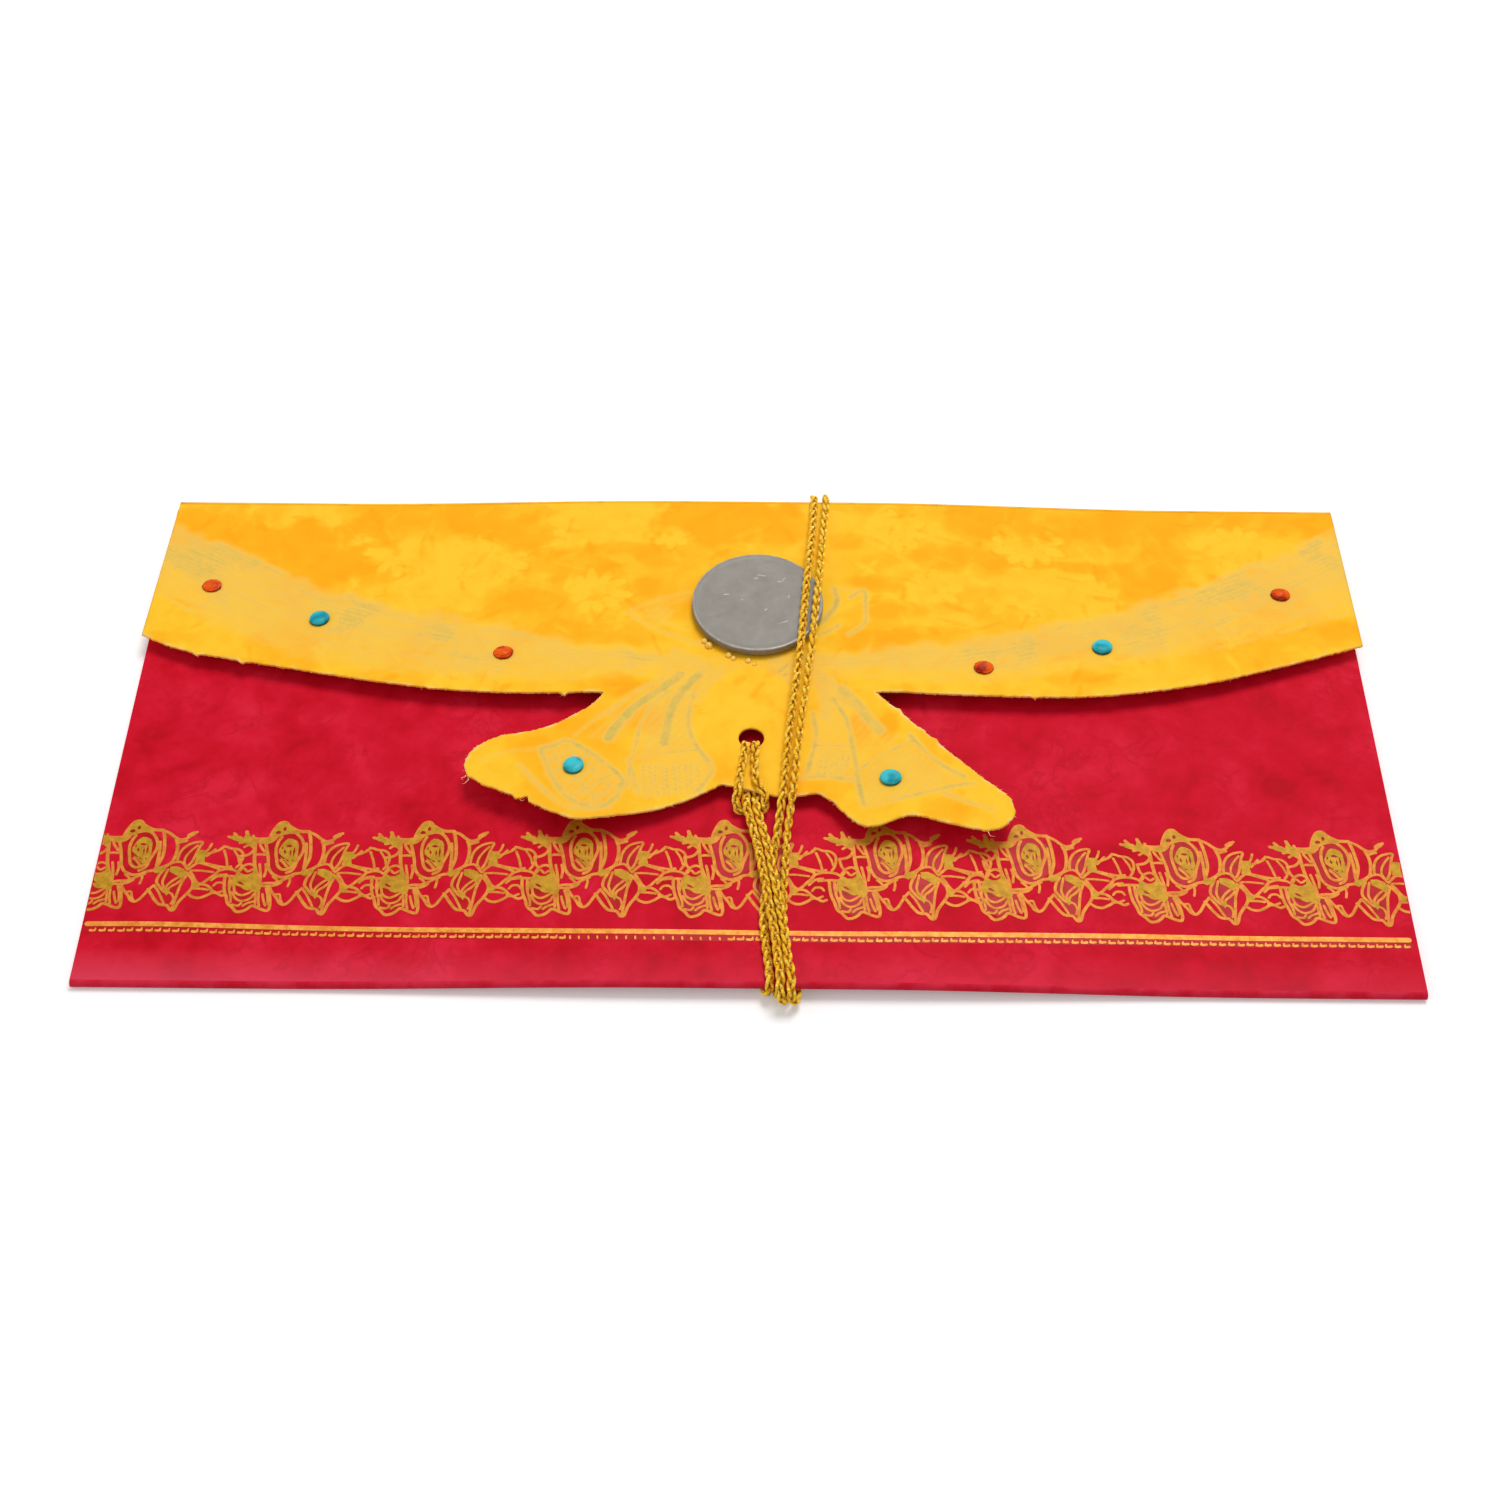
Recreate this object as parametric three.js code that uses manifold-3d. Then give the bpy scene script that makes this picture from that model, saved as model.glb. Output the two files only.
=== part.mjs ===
// Gift envelope: a folded paper pocket with a die-cut butterfly flap, a coin and glass stones on
// the flap, and a gold elastic cord hitched in the flap's hole and wound round the pocket.
// Sizes are in millimetres. X runs along the pocket, Y towards the fold of the flap, Z up.
import * as THREE from 'three';
import { mergeVertices } from 'three/addons/utils/BufferGeometryUtils.js';
import Module from 'manifold-3d';

const wasm = await Module();
wasm.setup();

// The pocket
const pocketLength = 202;
const pocketDepth = 98;
const paper = 0.3;
const tabGap = 0.45;
const tabWidth = 16;
const tabSetback = 15;
const tabCorner = 8;
const seamGlue = 0.15;
const seamGlueWidth = 11;
const mouthSetback = 4;

// The arch that the cord lifts in the middle of the pocket
const archHeight = 1.4;
const archLeft = -12;
const archRight = 17;
const archFlank = 60;
const archStep = 4;

// The flap, drawn from the fold downwards
const flapLength = 203;
const flapPaper = 0.35;
const flapClearance = 0.35;
const flapSlope = 0.03;
const flapSlopeAtTails = 0.055;
const slopeStart = 13;
const slopeEnd = 26;
const flapSide = 32.4;
const hemDepth = 14;
const hemGlue = 0.1;
const hemGlueMargin = 2;
const holeDiameter = 4.1;
const holeX = 0.1;
const holeFromFold = 53.8;

// The coin and its pad of glue
const coinDiameter = 21.9;
const coinThickness = 1.4;
const coinX = 0.9;
const coinFromFold = 25.8;
const coinRim = 1.1;
const coinField = 0.18;
const coinRelief = 0.12;
const padDiameter = 14;
const padThickness = 0.3;

// The glass stones
const stoneDiameter = 3.5;
const stoneTable = 1.9;
const stoneHeight = 0.9;
const stoneGirdle = 0.25;
const domeDiameter = 3.5;
const domeHeight = 0.9;
const domeEdge = 0.2;

// The printed gold line
const foilThickness = 0.08;
const foilWidth = 0.8;
const foilFromFold = 88.8;
const foilMarginLeft = 0.5;
const foilMarginRight = 1;

// The cord
const cordDiameter = 1.05;
const cordGap = 0.46;
const cordClearance = 0.25;
const cordSides = 8;

// Clearances of pieces that sit on each other
const seatGap = 0.05;

// Heights above the underside of the pocket, where it lies flat
const tabBottom = paper + tabGap;
const tabTop = tabBottom + paper;
const frontBottom = tabTop + seamGlue;
const frontTop = frontBottom + paper;
const hemBottom = paper + hemGlue;
const flapBottom = frontTop + flapClearance;
const flapTop = flapBottom + flapPaper;

// Places along Y
const foldOuter = (flapTop - hemBottom) / 2;
const foldInner = foldOuter - flapPaper;
const foldHeight = (flapTop + hemBottom) / 2;
const foldY = pocketDepth / 2 - foldOuter;
const bottomOuter = frontTop / 2;
const bottomInner = bottomOuter - paper;
const bottomY = -pocketDepth / 2 + bottomOuter;
const sideOuter = tabTop / 2;
const sideInner = sideOuter - paper;
const sideX = pocketLength / 2 - sideOuter;
const foldLine = pocketDepth / 2;

// A cosine ramp that goes from 0 to 1 between two values
function ramp(value, start, end) {
  const t = Math.min(1, Math.max(0, (value - start) / (end - start)));
  return 0.5 - 0.5 * Math.cos(Math.PI * t);
}

// How far the cord behind the pocket lifts the paper at x
function arch(x) {
  const left = ramp(x, archLeft - archFlank, archLeft);
  const right = 1 - ramp(x, archRight, archRight + archFlank);
  return archHeight * Math.min(left, right);
}

// The flap rises from its fold, a little more at its tails and wings
function flapRise(x, y) {
  const slope = flapSlope + (flapSlopeAtTails - flapSlope) * ramp(Math.abs(x), slopeStart, slopeEnd);
  return arch(x) + slope * Math.max(0, foldY - y);
}

// Places along X where a sheet is bent: its ends and steps across the arch
function stationsBetween(left, right) {
  const from = archLeft - archFlank;
  const to = archRight + archFlank;
  const steps = Math.round((to - from) / archStep);
  const places = [left, right];
  for (let i = 0; i <= steps; i += 1) places.push(from + (i * (to - from)) / steps);
  places.push(-slopeStart, slopeStart, -slopeEnd, slopeEnd);
  places.sort((a, b) => a - b);
  return places.filter((x, i) => x >= left && x <= right && (i === 0 || x - places[i - 1] > 0.01));
}

// A section drawn in Y and Z, run along X and lifted by the given rise
function runAcross(section, left, right, rise) {
  const places = stationsBetween(left, right);
  const steps = places.length - 1;
  const options = { depth: 1, steps, curveSegments: 6, bevelEnabled: false };
  const geometry = new THREE.ExtrudeGeometry(section, options);
  const at = geometry.attributes.position;
  for (let i = 0; i < at.count; i += 1) {
    const x = places[Math.round(at.getZ(i) * steps)];
    const y = at.getX(i);
    at.setXYZ(i, x, y, at.getY(i) + rise(x, y));
  }
  return geometry;
}

function rectangle(left, bottom, right, top) {
  const shape = new THREE.Shape();
  shape.moveTo(left, bottom);
  shape.lineTo(right, bottom);
  shape.lineTo(right, top);
  shape.lineTo(left, top);
  shape.closePath();
  return shape;
}

// Half a turn of folded paper, bulging to the left or the right of its centre
function halfTurn(centre, height, outer, inner, side) {
  const shape = new THREE.Shape();
  const up = Math.PI / 2;
  shape.moveTo(centre, height + inner);
  shape.lineTo(centre, height + outer);
  shape.absarc(centre, height, outer, up, up + side * Math.PI, side < 0);
  shape.lineTo(centre, height - inner);
  shape.absarc(centre, height, inner, up + side * Math.PI, up, side > 0);
  return shape;
}

// Joining and cutting closed solids
function solidOf(geometry) {
  const bare = geometry.clone();
  bare.deleteAttribute('normal');
  bare.deleteAttribute('uv');
  const merged = mergeVertices(bare, 1e-4);
  return new wasm.Manifold(new wasm.Mesh({
    numProp: 3,
    vertProperties: new Float32Array(merged.attributes.position.array),
    triVerts: new Uint32Array(merged.index.array),
  }));
}

function geometryOf(solid) {
  const mesh = solid.getMesh();
  const geometry = new THREE.BufferGeometry();
  geometry.setAttribute('position', new THREE.BufferAttribute(new Float32Array(mesh.vertProperties), 3));
  geometry.setIndex(new THREE.BufferAttribute(new Uint32Array(mesh.triVerts), 1));
  return geometry;
}

function slabFrom(shape, bottom, top) {
  const options = { depth: top - bottom, curveSegments: 6, bevelEnabled: false };
  return new THREE.ExtrudeGeometry(shape, options).translate(0, 0, bottom);
}

// The colours and finishes
const redPaper = { color: 0xc8182e, roughness: 0.55, metalness: 0 };
const yellowPaper = { color: 0xf8b41c, roughness: 0.7, metalness: 0 };
const clearGlue = { color: 0xd9cfa6, roughness: 0.4, metalness: 0 };
const coinMetal = { color: 0x8f8a80, roughness: 0.45, metalness: 0.9 };
const goldFoil = { color: 0xc8923c, roughness: 0.35, metalness: 0.9 };
const goldCord = { color: 0xd8a520, roughness: 0.3, metalness: 0.9 };
const redGlass = { color: 0xb8231a, roughness: 0.12, metalness: 0 };
const blueGlass = { color: 0x19a0b4, roughness: 0.18, metalness: 0 };

const envelope = new THREE.Group();

function addPiece(name, geometry, look, parent = envelope) {
  const piece = new THREE.Mesh(geometry, new THREE.MeshStandardMaterial(look));
  piece.name = name;
  parent.add(piece);
  return piece;
}

// The folded sheet of the pocket
function addPocket() {
  const back = rectangle(bottomY, 0, foldY, paper);
  addPiece('back_panel', runAcross(back, -sideX, sideX, arch), redPaper);

  const turn = halfTurn(bottomY, frontTop / 2, bottomOuter, bottomInner, 1);
  addPiece('bottom_fold', runAcross(turn, -pocketLength / 2, pocketLength / 2, arch), redPaper);

  const front = rectangle(bottomY, frontBottom, foldLine - mouthSetback, frontTop);
  addPiece('front_panel', runAcross(front, -pocketLength / 2, pocketLength / 2, arch), redPaper);
}

// A side tab with its own turn of the sheet, glued under the front panel
function addSideTab(name, side) {
  const low = bottomY + paper;
  const high = foldLine - tabSetback;
  const inner = sideX - tabWidth;
  const outline = new THREE.Shape();
  outline.moveTo(side * sideX, low);
  outline.lineTo(side * inner, low + tabCorner);
  outline.lineTo(side * inner, high - tabCorner);
  outline.lineTo(side * sideX, high);
  outline.closePath();
  const flat = solidOf(slabFrom(outline, tabBottom, tabTop));

  const section = halfTurn(side * sideX, sideOuter, sideOuter, sideInner, -side);
  const options = { depth: high - low, curveSegments: 6, bevelEnabled: false };
  const turn = new THREE.ExtrudeGeometry(section, options);
  turn.rotateX(Math.PI / 2);
  turn.translate(0, high, 0);
  addPiece(name, geometryOf(flat.add(solidOf(turn))), redPaper);
}

function addSeamGlue(name, side) {
  const low = bottomY + paper + tabCorner;
  const high = foldLine - tabSetback - tabCorner;
  const near = side * (sideX - tabWidth + 2);
  const far = near + side * seamGlueWidth;
  const strip = rectangle(Math.min(near, far), low, Math.max(near, far), high);
  addPiece(name, slabFrom(strip, tabTop, frontBottom), clearGlue);
}

// The yellow sheet: a hem glued inside the mouth, a turn over the edge, and the flap
function addFlapRoot() {
  const half = flapLength / 2;
  const glue = rectangle(foldY - hemDepth + hemGlueMargin, paper, foldY - hemGlueMargin, hemBottom);
  addPiece('hem_glue', runAcross(glue, hemGlueMargin - sideX, sideX - hemGlueMargin, arch), clearGlue);

  const hem = rectangle(foldY - hemDepth, hemBottom, foldY, hemBottom + flapPaper);
  addPiece('flap_hem', runAcross(hem, -half, half, arch), yellowPaper);

  const turn = halfTurn(foldY, foldHeight, foldOuter, foldInner, -1);
  addPiece('flap_fold', runAcross(turn, -half, half, arch), yellowPaper);
}

// The flap's outline, with distances taken down from the fold
function flapOutline() {
  const half = flapLength / 2;
  const from = (x, down) => new THREE.Vector2(x, foldLine - down);
  const shape = new THREE.Shape();
  shape.moveTo(half, foldY);
  shape.lineTo(-half + 0.7, foldY);
  shape.lineTo(-half, foldLine - flapSide);
  shape.splineThru([from(-93, 36), from(-75.6, 39.6), from(-53, 43.7), from(-38, 45.1),
    from(-23.8, 45.1)]);
  shape.splineThru([from(-26.6, 48.7), from(-33.2, 52.8), from(-40.3, 54.5), from(-44.2, 57.4),
    from(-44.9, 61.2), from(-41.8, 64.3)]);
  shape.splineThru([from(-36.6, 66.6), from(-30.6, 69.7), from(-25.6, 71.1), from(-16, 68.7),
    from(-9.5, 66.1), from(-4.4, 63.1)]);
  shape.splineThru([from(-1.9, 63.7), from(4.5, 65.4), from(10.6, 64.7)]);
  shape.splineThru([from(12.9, 66.4), from(16.4, 70.5), from(19.6, 71.5), from(25.1, 70),
    from(31.2, 71.6), from(37.2, 72.5), from(40.8, 69.9), from(40.6, 66.2)]);
  shape.splineThru([from(34.2, 60), from(27, 52.4), from(20.1, 44.4)]);
  shape.splineThru([from(36, 45), from(55, 44.5), from(73, 41.4), from(88, 37), from(half, flapSide)]);
  shape.closePath();
  return shape;
}

function addFlap(parent) {
  const half = flapLength / 2;
  const outline = flapOutline();
  const section = rectangle(-foldLine, flapBottom, foldY, flapTop);
  const sheet = solidOf(runAcross(section, -half, half, flapRise));
  const options = { depth: 20, curveSegments: 4, bevelEnabled: false };
  const cutter = solidOf(new THREE.ExtrudeGeometry(outline, options));
  const hole = new THREE.CylinderGeometry(holeDiameter / 2, holeDiameter / 2, 40, 24);
  hole.rotateX(Math.PI / 2);
  hole.translate(holeX, foldLine - holeFromFold, 0);
  addPiece('flap', geometryOf(sheet.intersect(cutter).subtract(solidOf(hole))), yellowPaper, parent);
}

// A group whose own Z stands square on the flap at a place given from the fold
function seatOnFlap(x, fromFold, parent) {
  const y = foldLine - fromFold;
  const step = 0.5;
  const slopeX = (flapRise(x + step, y) - flapRise(x - step, y)) / (2 * step);
  const slopeY = (flapRise(x, y + step) - flapRise(x, y - step)) / (2 * step);
  const normal = new THREE.Vector3(-slopeX, -slopeY, 1).normalize();
  const seat = new THREE.Group();
  seat.position.set(x, y, flapTop + flapRise(x, y)).addScaledVector(normal, seatGap);
  seat.quaternion.setFromUnitVectors(new THREE.Vector3(0, 0, 1), normal);
  parent.add(seat);
  return seat;
}

function turned(profile, segments) {
  const geometry = new THREE.LatheGeometry(profile.map(([r, z]) => new THREE.Vector2(r, z)), segments);
  return geometry.rotateX(Math.PI / 2);
}

// A leaf of the worn sprigs on the coin
function leafShape(length, width) {
  const shape = new THREE.Shape();
  shape.moveTo(0, 0);
  shape.quadraticCurveTo(length / 2, width, length, 0);
  shape.quadraticCurveTo(length / 2, -width, 0, 0);
  return shape;
}

function addCoin(parent) {
  const seat = seatOnFlap(coinX, coinFromFold, parent);
  const pad = new THREE.CylinderGeometry(padDiameter / 2, padDiameter / 2, padThickness, 24);
  pad.rotateX(Math.PI / 2);
  pad.translate(0, 0, padThickness / 2);
  addPiece('coin_glue_pad', pad, clearGlue, seat);

  const radius = coinDiameter / 2;
  const low = padThickness + seatGap;
  const high = low + coinThickness;
  const bevel = 0.15;
  const inner = radius - coinRim;
  const body = turned([
    [0, low], [radius - bevel, low], [radius, low + bevel], [radius, high - bevel],
    [radius - bevel, high], [inner, high], [inner - coinField, high - coinField], [0, high - coinField],
  ], 64);
  let coin = solidOf(body);
  const sprigRadius = 7.6;
  const leaves = 6;
  for (const side of [-1, 1]) {
    for (let i = 0; i < leaves; i += 1) {
      const angle = -Math.PI / 2 + side * (0.35 + i * 0.36);
      const shape = leafShape(2.6, 0.9);
      const leaf = slabFrom(shape, high - coinField - 0.1, high - coinField + coinRelief);
      leaf.rotateZ(angle + side * 1.15);
      leaf.translate(sprigRadius * Math.cos(angle), sprigRadius * Math.sin(angle), 0);
      coin = coin.add(solidOf(leaf));
    }
  }
  addPiece('coin', geometryOf(coin), coinMetal, seat);
}

// Glass stones: [x, distance from the fold]
const facetedStones = [[-91.7, 21.1], [-40.9, 36.5], [38, 39.1], [89.5, 21]];
const domedStones = [[-72.4, 28.6], [-27.8, 60.8], [22, 62.6], [58, 33.8]];

function addStones(parent) {
  const facet = [
    [0, 0], [stoneDiameter / 2 - 0.2, 0], [stoneDiameter / 2, stoneGirdle],
    [stoneTable / 2, stoneHeight], [0, stoneHeight],
  ];
  facetedStones.forEach(([x, down], i) => {
    addPiece(`red_stone_${i + 1}`, turned(facet, 8), redGlass, seatOnFlap(x, down, parent));
  });

  const dome = [[0, 0], [domeDiameter / 2, 0]];
  const rings = 5;
  for (let i = 0; i < rings; i += 1) {
    const angle = (i * Math.PI) / 2 / rings;
    const height = domeEdge + (domeHeight - domeEdge) * Math.sin(angle);
    dome.push([(domeDiameter / 2) * Math.cos(angle), height]);
  }
  dome.push([0, domeHeight]);
  domedStones.forEach(([x, down], i) => {
    addPiece(`turquoise_stone_${i + 1}`, turned(dome, 16), blueGlass, seatOnFlap(x, down, parent));
  });
}

// The gold line printed along the pocket
function addFoilLine() {
  const y = foldLine - foilFromFold;
  const bottom = frontTop + seatGap;
  const band = rectangle(y - foilWidth / 2, bottom, y + foilWidth / 2, bottom + foilThickness);
  const left = foilMarginLeft - pocketLength / 2;
  const right = pocketLength / 2 - foilMarginRight;
  addPiece('foil_line', runAcross(band, left, right, arch), goldFoil);
}

// The cord's own heights: beside the back panel, on the front panel, and one strand higher
const cordRadius = cordDiameter / 2;
const cordPitch = cordDiameter + cordGap;
const cordOff = cordClearance + cordRadius;
const cordBack = archHeight - cordOff;
const cordFront = archHeight + frontTop + cordOff;
const cordOver = cordFront + cordPitch;
const coinStack = padThickness + coinThickness + 2 * seatGap;

// Height of a strand that lies on the flap or on the coin
const onFlap = (down) => archHeight + flapTop + flapSlope * Math.max(0, down - foldOuter) + cordOff;
const onCoin = (down) => onFlap(down) + coinStack;

// Where the strands lie behind the pocket, at the bottom edge and at the top edge
const firstLane = 2.45;
const lanePitch = cordPitch + 0.12;
const laneShift = 0.75;
const lane = (i) => firstLane + i * lanePitch;
const roundTheEdge = (t) => ramp(t, 0.1, 0.7);
const laneAt = (i, t) => lane(i) + laneShift * roundTheEdge(t);
const topLane = 11.7;
const topSpread = 1.3;

// The cord's two ends run up the back side by side into their knot
const tailLength = 22;
const tailDrift = 0.6;
const knotLength = 3;
const knotWidth = 3.2;
const knotEnd = 2.5;
const knotGap = 0.3;

// Half a turn round an edge of the pocket, at an x and a radius that may drift on the way
function edgeTurn({ y, low, high, x, extra = () => 0, steps = 6, goesUp = true }) {
  const middle = (low + high) / 2;
  const outwards = y < 0 ? -1 : 1;
  const turn = [];
  for (let i = 0; i <= steps; i += 1) {
    const t = i / steps;
    const angle = (goesUp ? -1 : 1) * (Math.PI / 2 - Math.PI * t);
    const radius = (high - low) / 2 + extra(t);
    turn.push([x(t), y + outwards * radius * Math.cos(angle), middle + radius * Math.sin(angle)]);
  }
  return turn;
}

// Points given by x, the distance from the fold, and the height
const placed = (list, shift = 0) => list.map(([x, down, z]) => [x + shift, foldLine - down, z]);

// The outer pair from below the flap's edge, over the flap and the coin, and round the fold.
// Its strands part a little on the way up.
function outerPair(side) {
  const near = cordPitch / 2;
  const edge = 65.4;
  const coinLow = 34;
  const coinHigh = 18.6;
  return [
    ...placed([
      [5.05 + side * near, 71.3, cordFront + 0.45],
      [5.45 + side * near, 68.6, onFlap(edge) - 0.9],
      [5.75 + side * near, 66.2, onFlap(edge) + 0.02],
      [6 + side * near, 64.2, onFlap(edge) + 0.08],
      [6.7 + side * (near + 0.05), 55.7, onFlap(edge) + 0.3],
      [9.15 + side * (near + 0.15), coinLow, onCoin(coinLow)],
      [9.75 + side * (near + 0.25), coinFromFold, onCoin(coinFromFold) + 0.04],
      [10.4 + side * (near + 0.4), coinHigh, onCoin(coinHigh)],
      [11.1 + side * (topSpread - 0.15), 10, (onCoin(coinHigh) + onFlap(0)) / 2],
    ]),
    ...edgeTurn({
      y: foldY,
      low: cordBack,
      high: onFlap(0),
      x: () => topLane + side * topSpread,
      steps: 8,
      goesUp: false,
    }),
  ];
}

// A strand of the outer pair, from its tail on the back, round the bottom edge and up the front
function outerStrand(i, side, frontPlaces) {
  return [
    [lane(i) + tailDrift, tailLength - foldLine, cordBack],
    ...edgeTurn({ y: bottomY, low: cordBack, high: cordFront, x: (t) => laneAt(i, t) }),
    ...placed(frontPlaces.map(([x, down]) => [x, down, cordFront])),
    ...outerPair(side),
  ];
}

const leftOuterStrand = () => outerStrand(0, -1, [
  [2.95, 94.5], [2.45, 90.5], [2.15, 87], [2.3, 83.5], [2.9, 80], [3.65, 75.5],
]);

const rightOuterStrand = () => outerStrand(1, 1, [
  [5.2, 94.5], [5.45, 91], [5.2, 86], [5.2, 81], [5.5, 76],
]);

// A strand of the inner pair: it climbs over the outer pair round the bottom edge, crosses over
// it on the front, and goes under the flap
function innerStrand(i, side) {
  const climb = (t) => 1.65 * roundTheEdge(t);
  return [
    ...edgeTurn({
      y: bottomY,
      low: cordBack,
      high: cordFront,
      x: (t) => laneAt(i - 1, t) + lanePitch * Math.cos(climb(t)),
      extra: (t) => lanePitch * Math.sin(climb(t)),
      steps: 10,
    }),
    ...placed([
      [5.05, 94.5],
      [4.75, 91],
      [4.3, 88],
      [3.75, 85],
      [3.3, 81.9],
      [2.1, 75],
      [1.3, 71.6],
      [0.5, 68.4],
      [holeX, 66.7],
    ].map(([x, down]) => [x, down, cordOver]), side * (cordPitch / 2)),
    ...placed([[holeX, 64.8, cordOver - 0.75], [holeX, 62.5, cordFront + 0.3]], side * (cordPitch / 2)),
  ];
}

// The hitch: up through the hole, down over the flap as a leg, and round below the flap's edge
function hitchLeg(side, legPlaces) {
  const holeEdge = holeFromFold + holeDiameter / 2;
  const high = onFlap(holeEdge);
  const low = high - flapPaper - 2 * cordOff;
  const strandX = holeX - 0.1 + side * (cordPitch / 2);
  const through = edgeTurn({ y: 0, low, high, x: () => strandX });
  const edge = 64;
  return [
    ...through.map(([x, y, z]) => [x, y + foldLine - holeEdge, z]),
    ...placed(legPlaces.map(([x, down]) => [holeX + x, down, onFlap(down)])),
    ...placed([
      [2.2, 65.5, onFlap(edge) - 0.2],
      [2.3, 66.7, cordOver - 0.35],
      [2.05, 67.1, cordFront + 0.45],
      [1.3, 67.1, cordFront + 0.02],
    ].map(([x, down, z]) => [holeX + side * x, down, z])),
  ];
}

const leftLeg = () => hitchLeg(-1, [[-1.3, 59], [-1.7, 61.5], [-1.85, 63.6]]);
const rightLeg = () => hitchLeg(1, [[0.55, 59], [0.6, 61.5], [1.05, 63.6]]);

function cordPoints() {
  return [
    ...leftOuterStrand(),
    ...innerStrand(2, -1),
    ...leftLeg(),
    ...rightLeg().reverse(),
    ...innerStrand(3, 1).reverse(),
    ...rightOuterStrand().reverse(),
  ].map(([x, y, z]) => new THREE.Vector3(x, y, z));
}

// A path that steps from one chosen point to the next, so turns keep their own fine steps
class CordRoute extends THREE.Curve {
  constructor(points) {
    super();
    this.points = points;
  }

  getPoint(t, target = new THREE.Vector3()) {
    const place = Math.min(this.points.length - 1.000001, t * (this.points.length - 1));
    const i = Math.floor(place);
    return target.lerpVectors(this.points[i], this.points[i + 1], place - i);
  }

  getPointAt(t, target) {
    return this.getPoint(t, target);
  }

  getTangentAt(t, target = new THREE.Vector3()) {
    const last = this.points.length - 1;
    const i = Math.round(t * last);
    const before = this.points[Math.max(0, i - 1)];
    const after = this.points[Math.min(last, i + 1)];
    const into = new THREE.Vector3().subVectors(this.points[i], before).normalize();
    const out = new THREE.Vector3().subVectors(after, this.points[i]).normalize();
    return target.addVectors(into, out).normalize();
  }
}

// The least clear gap between stretches of the cord that aren't neighbours along it
function leastGap(points) {
  const dense = [];
  const along = [];
  let length = 0;
  for (let i = 0; i + 1 < points.length; i += 1) {
    const span = points[i].distanceTo(points[i + 1]);
    const parts = Math.max(1, Math.ceil(span / 0.4));
    for (let k = 0; k < parts; k += 1) {
      dense.push(new THREE.Vector3().lerpVectors(points[i], points[i + 1], k / parts));
      along.push(length + (span * k) / parts);
    }
    length += span;
  }
  let least = { gap: Infinity };
  for (let i = 0; i < dense.length; i += 1) {
    for (let k = i + 1; k < dense.length; k += 1) {
      if (along[k] - along[i] > 3 * cordDiameter) {
        const gap = dense[i].distanceTo(dense[k]) - cordDiameter;
        if (gap < least.gap) least = { gap, at: dense[i], along: along[i], other: along[k] };
      }
    }
  }
  return { ...least, length };
}

function addCord(parent) {
  const points = cordPoints();
  const section = new THREE.Shape();
  for (let i = 0; i < cordSides; i += 1) {
    const angle = (2 * Math.PI * (i + 0.5)) / cordSides;
    const corner = [cordRadius * Math.cos(angle), cordRadius * Math.sin(angle)];
    if (i === 0) section.moveTo(...corner);
    else section.lineTo(...corner);
  }
  section.closePath();
  const route = new CordRoute(points);
  const tube = new THREE.ExtrudeGeometry(section, { steps: points.length - 1, extrudePath: route });
  addPiece('cord', tube, goldCord, parent);
  const { gap, at, along, other, length } = leastGap(points);
  const place = at.toArray().map((v) => v.toFixed(1));
  console.log(`cord: ${length.toFixed(0)} mm long, ${points.length} points`);
  const stretches = `${along.toFixed(0)} and ${other.toFixed(0)} mm along`;
  console.log(`least gap to itself ${gap.toFixed(2)} mm at ${place}, ${stretches}`);
}

// The knot that ties the cord's ends together, pressed flat under the pocket
function addKnot(parent) {
  const half = knotLength / 2;
  const wide = knotWidth / 2;
  const waist = 0.85 * wide;
  const barrel = turned([
    [0, -half], [0.6 * wide, -half], [wide, -0.7 * half], [wide, -0.3 * half], [waist, 0],
    [wide, 0.3 * half], [wide, 0.7 * half], [0.6 * wide, half], [0, half],
  ], 20);
  barrel.rotateX(-Math.PI / 2);
  barrel.scale(1, 1, cordDiameter / knotWidth);
  let knot = solidOf(barrel);
  for (const side of [-1, 1]) {
    const end = new THREE.CylinderGeometry(cordRadius, cordRadius, half + knotEnd, cordSides);
    end.translate(side * (lanePitch / 2), (half + knotEnd) / 2, 0);
    knot = knot.add(solidOf(end));
  }
  const piece = addPiece('cord_knot', geometryOf(knot), goldCord, parent);
  const x = lane(0.5) + tailDrift;
  piece.position.set(x, tailLength - foldLine + knotGap + half, cordBack);
}

addPocket();
addSideTab('side_tab_left', -1);
addSideTab('side_tab_right', 1);
addSeamGlue('seam_glue_left', -1);
addSeamGlue('seam_glue_right', 1);
addFoilLine();
addFlapRoot();

const flap = new THREE.Group();
envelope.add(flap);
addFlap(flap);
addCoin(flap);
addStones(flap);
addCord(flap);
addKnot(flap);

// The origin is in the middle of the base of everything
const bounds = new THREE.Box3().setFromObject(envelope);
const middle = bounds.getCenter(new THREE.Vector3());
envelope.position.set(-middle.x, -middle.y, -bounds.min.z);
const hinge = [foldY - middle.y, foldHeight + archHeight / 2 - bounds.min.z];
console.log(`fold axis of the flap at y ${hinge[0].toFixed(3)}, z ${hinge[1].toFixed(3)}`);

export default envelope;
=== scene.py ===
# Looks of the gift envelope. Sizes are in millimetres until a mesh is made, in the part's own frame:
# X along the pocket, Y towards the fold of the flap, Z up.
import math
import random

import bpy
import numpy as np
from mathutils import Matrix, Vector, noise
from mathutils.geometry import delaunay_2d_cdt, tessellate_polygon
from mathutils.kdtree import KDTree


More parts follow.
